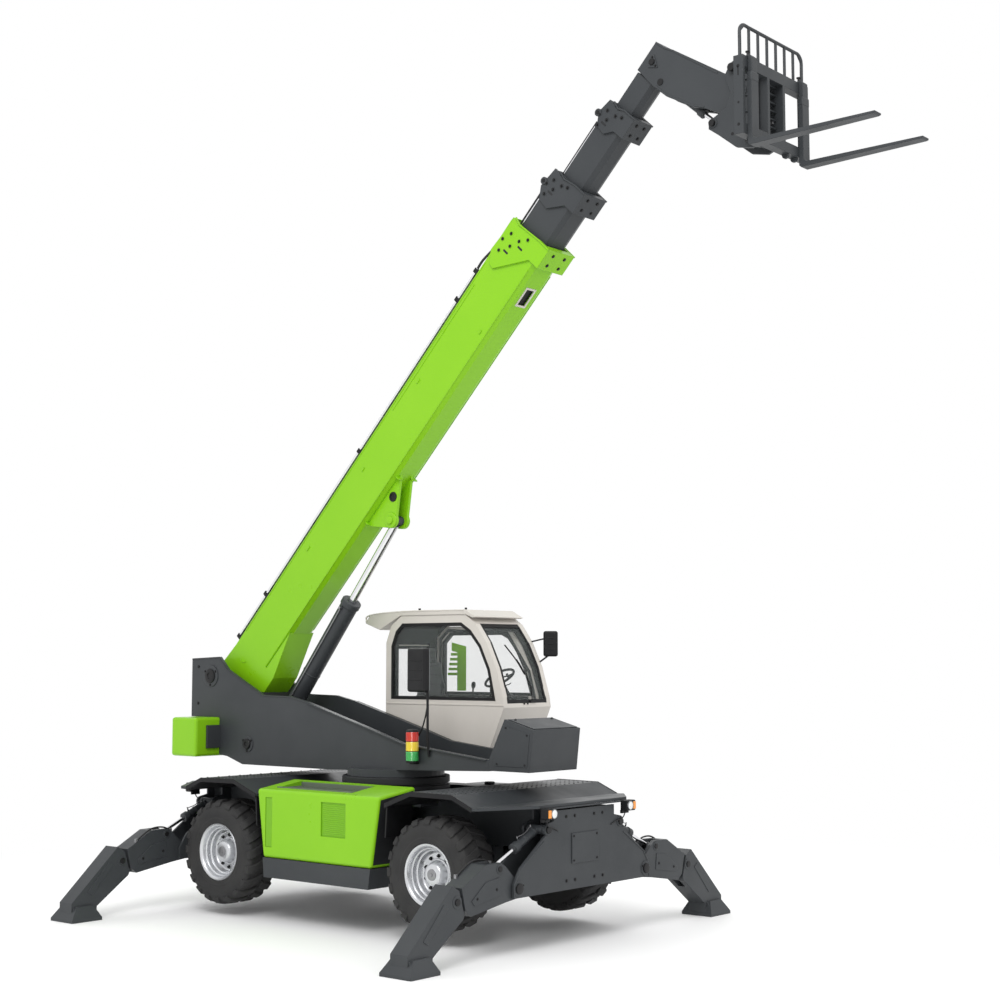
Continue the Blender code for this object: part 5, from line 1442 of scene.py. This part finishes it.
    for n, key, lift in ((2, "second", 0.07), (3, "third", 0.05)):
        c = boomSizes[key]
        body = f"boom_section_{n}"
        trim = Piece(body + "_trim", charcoalPaint, boomAxes)
        collarTrim(trim, c, ((0.30, 0.03), (0.20, -0.02), (0.12, 0.04), (0.20, 0.10), (0.11, 0.17),
                             (0.08, 0.25)),
                   ((0.25, 0.09),), charcoalPaint)
        top = c["high"] + lift - 0.045
        for y in (-0.5, 0.5):
            for back in (0.10, 0.20):
                trim.use(blackBolt).hexBolt((c["front"] - back, y * c["half"], top), (0, 0, 1), 0.013, 0.011)
        trim.use(charcoalPaint)
        for s in (-1, 1):
            knob = (c["front"] - 0.20, s * (c["half"] + 0.012), c["high"] + lift - 0.002)
            trim.turned([(0, -0.022), (0.040, -0.022), (0.040, 0.022), (0, 0.022)], knob, (0, 1, 0), 28)
            trim.use(blackBolt).turned([(0, -0.028), (0.020, -0.028), (0.020, 0.028), (0, 0.028)], knob,
                                       (0, 1, 0), 24)
            trim.use(charcoalPaint)
        trim.done(body, "charcoal_paint")
    for n, key, start, end, low in ((2, "second", 6.46, 7.08, 0.026), (3, "third", 7.26, 8.04, 0.015)):
        c = boomSizes[key]
        body, y, z = f"boom_section_{n}", 0.020 - c["half"], c["high"] + low
        line = Piece(body + "_lines", hardChrome, boomAxes)
        line.rod((start, y, z), (end, y, z), 0.009, 20)
        line.use(hoseRubber).rod((start, y + 0.006, z + low + 0.004), (end, y + 0.006, z + low + 0.004),
                                 0.010, 16)
        line.use(blackPlastic)
        for at in (start + 0.02, end - 0.05):
            line.box((at, at + 0.03), (y - 0.010, y + 0.018), (c["high"] - 0.003, z + low), 0.003)
        line.done(body, "chrome")


noseSizes = {"half": 0.12, "elbow": (8.859, -0.269), "basePin": (3.72, 8.60),
             "crest": [(3.672, 9.030), (3.781, 8.945), (3.876, 8.897), (4.40, 8.545)],
             "belly": [(3.66, 8.560), (3.791, 8.440), (3.92, 8.368), (4.09, 8.270), (4.234, 8.226)]}


def addNoseTrim():
    c = noseSizes
    trim = Piece("boom_nose_trim", charcoalPaint)
    pinAt = machineAxes.inverted() @ boomPoint(c["elbow"][0], 0, c["elbow"][1])
    for s in (-1, 1):
        face = s * c["half"]
        x, z = pinAt.x, pinAt.z
        ear = [(x - 0.055, z - 0.035), (x + 0.062, z - 0.060), (x + 0.020, z + 0.085), (x - 0.020, z + 0.080)]
        trim.use(charcoalPaint).prism(ear, "y", *onFace(face, s, 0.010), 0.004)
        trim.use(blackBolt).turned(disc(0.034, 0.020, 0.029, 0.026), (x, face + s * 0.004, z + 0.012),
                                   (0, s, 0), 32)
        for dx, dz in ((0.040, -0.038), (0.004, 0.062)):
            trim.hexBolt((x + dx, face + s * 0.010, z + dz), (0, s, 0), 0.009, 0.008)
        trim.turned([(0, 0), (0.034, 0), (0.034, 0.010), (0, 0.012)],
                    (c["basePin"][0], face - s * 0.002, c["basePin"][1]), (0, s, 0), 32)
        trim.use(charcoalPaint)
        lower = [(px - 0.008, pz - 0.016) for px, pz in c["crest"][::-1]]
        trim.prism(c["crest"] + lower, "y", *onFace(face, s, 0.006), 0.002)
        upper = [(px + 0.008, pz + 0.016) for px, pz in c["belly"][::-1]]
        trim.prism(c["belly"] + upper, "y", *onFace(face, s, 0.005), 0.002)
    trim.done("boom_section_4", "charcoal_paint")


carriageSizes = {"face": 0.157, "x": (4.88, 4.98), "half": 0.605, "forkY": 0.47,
                 "pins": ((4.67, 8.28, 0.052), (4.60, 8.53, 0.040), (4.78, 7.79, 0.046), (4.36, 8.03, 0.034)),
                 "holeShades": ((4.72, 8.47, 0.020), (4.82, 8.12, 0.017), (4.58, 7.88, 0.016),
                           (4.84, 8.32, 0.014)),
                 "guard": ((0.57, 8.40), (0.57, 8.60), (0.570, 8.695), (0.552, 8.742), (0.50, 8.774),
                           (0.40, 8.774)),
                 "bars": 8, "rungs": 7, "rungPitch": 0.082}


def addCarriageTrim():
    c = carriageSizes
    trim = Piece("carriage_trim", charcoalPaint)
    for s in (-1, 1):
        face = s * c["face"]
        for x, z, r in c["pins"]:
            trim.use(charcoalPaint).turned(disc(r * 1.45, 0.008, r * 1.36, 0.011),
                                           (x, face - s * 0.002, z), (0, s, 0), 40)
            deep = 0.034 if r != 0.040 else 0.052
            trim.use(blackBolt).turned(disc(r, deep, r * 0.88, deep + 0.005),
                                       (x, face - s * 0.002, z), (0, s, 0), 36)
        # the holes are flat dark discs on the plate: painted shade
        for x, z, r in c["holeShades"]:
            trim.use(blackBolt).turned(disc(r, 0.003), (x, face - s * 0.002, z), (0, s, 0), 28)
        trim.use(charcoalPaint)
        rib = [(4.86, 8.42), (4.885, 8.42), (4.885, 7.78), (4.86, 7.78)]
        trim.prism(rib, "y", *onFace(face, s, 0.030), 0.004)
        for z in (7.90, 8.06, 8.22, 8.38):
            trim.prism([(4.70, z), (4.862, z), (4.862, z + 0.014), (4.70, z + 0.014)], "y",
                       *onFace(face, s, 0.020), 0.002)
        end = s * c["half"]
        # dark discs and a slot drawn flat on the ends: painted shade of holes
        for x, z, r in ((4.93, 8.35, 0.017), (4.93, 7.79, 0.015), (4.93, 8.00, 0.011)):
            trim.use(blackBolt).turned(disc(r, 0.002), (x, end - s * 0.001, z), (0, s, 0), 24)
        trim.box((4.924, 4.936), sorted((end - s * 0.001, end + s * 0.001)), (8.26, 8.35), 0)
        trim.use(charcoalPaint)
        for y in (0.24, 0.40):
            tab = arc((4.93, 7.69), 0.035, 180, 360, 10)
            trim.prism([(4.965, 7.705), *tab[::-1], (4.895, 7.705)], "y", s * y - 0.014, s * y + 0.014, 0.003)
    trim.done("carriage", "charcoal_paint")
    rung = Piece("carriage_rungs", charcoalPaint)
    rung.box((4.875, 4.905), (-0.124, 0.124), (7.835, 7.851), 0.003)
    repeated(rung, "row", "carriage", "charcoal_paint", Count=c["rungs"], Step=(0, 0, c["rungPitch"]))
    x = sum(c["x"]) / 2
    guard = Piece("load_guard_tubes", charcoalPaint)
    near, far = [(x, -y, z) for y, z in c["guard"]], [(x, y, z) for y, z in c["guard"]]
    guard.tube([*near, (x, 0.0, 8.774), *far[::-1]], 0.0165, 16, 8)
    for k in range(1, c["bars"] - 1):
        y = -0.57 + 1.14 * k / (c["bars"] - 1)
        guard.rod((x, y, 8.40), (x, y, 8.776), 0.0145, 20)
        guard.turned([(0.014, 0), (0.022, 0), (0.015, 0.012)], (x, y, 8.454), (0, 0, 1), 20)
    guard.done("carriage", "charcoal_paint")
    for side in ("left", "right"):
        y = way[side] * c["forkY"]
        hook = Piece(f"fork_{side}_hook", charcoalPaint)
        hook.box((4.992, 5.034), (y - 0.064, y + 0.064), (8.215, 8.300), 0.010, 3)
        hook.prism([(4.895, 8.452), (4.895, 8.470), (5.000, 8.470), (5.028, 8.445), (5.028, 8.285),
                    (4.981, 8.285), (4.981, 8.452)],
                   "y", y - 0.045, y + 0.045, 0.004)
        hook.prism([(4.981, 7.70), (5.000, 7.70), (5.000, 7.79), (4.981, 7.79)], "y", y - 0.050, y + 0.050,
                   0.003)
        hook.use(blackBolt).rod((4.955, y, 8.468), (4.955, y, 8.515), 0.012, 20)
        hook.turned([(0, 0), (0.022, 0), (0.022, 0.010), (0, 0.012)], (4.955, y, 8.512), (0, 0, 1), 24)
        hook.done("carriage", "charcoal_paint")
    hoses = Piece("carriage_hoses", hoseRubber)
    for y in (-0.075, 0.075):
        hoses.tube([(4.875, y, 8.36), (4.80, y, 8.37), (4.765, y, 8.30), (4.80, y, 8.20), (4.84, y, 8.06),
                    (4.875, y, 7.98)], 0.012, 12)
    hoses.use(zincBolt)
    for y in (-0.075, 0.075):
        for z in (8.36, 7.98):
            hoses.rod((4.86, y, z), (4.895, y, z), 0.017, 6)
    hoses.done("carriage", "charcoal_paint")


addBoomTrim()
addNoseTrim()
addCarriageTrim()
print("boom and carriage done")
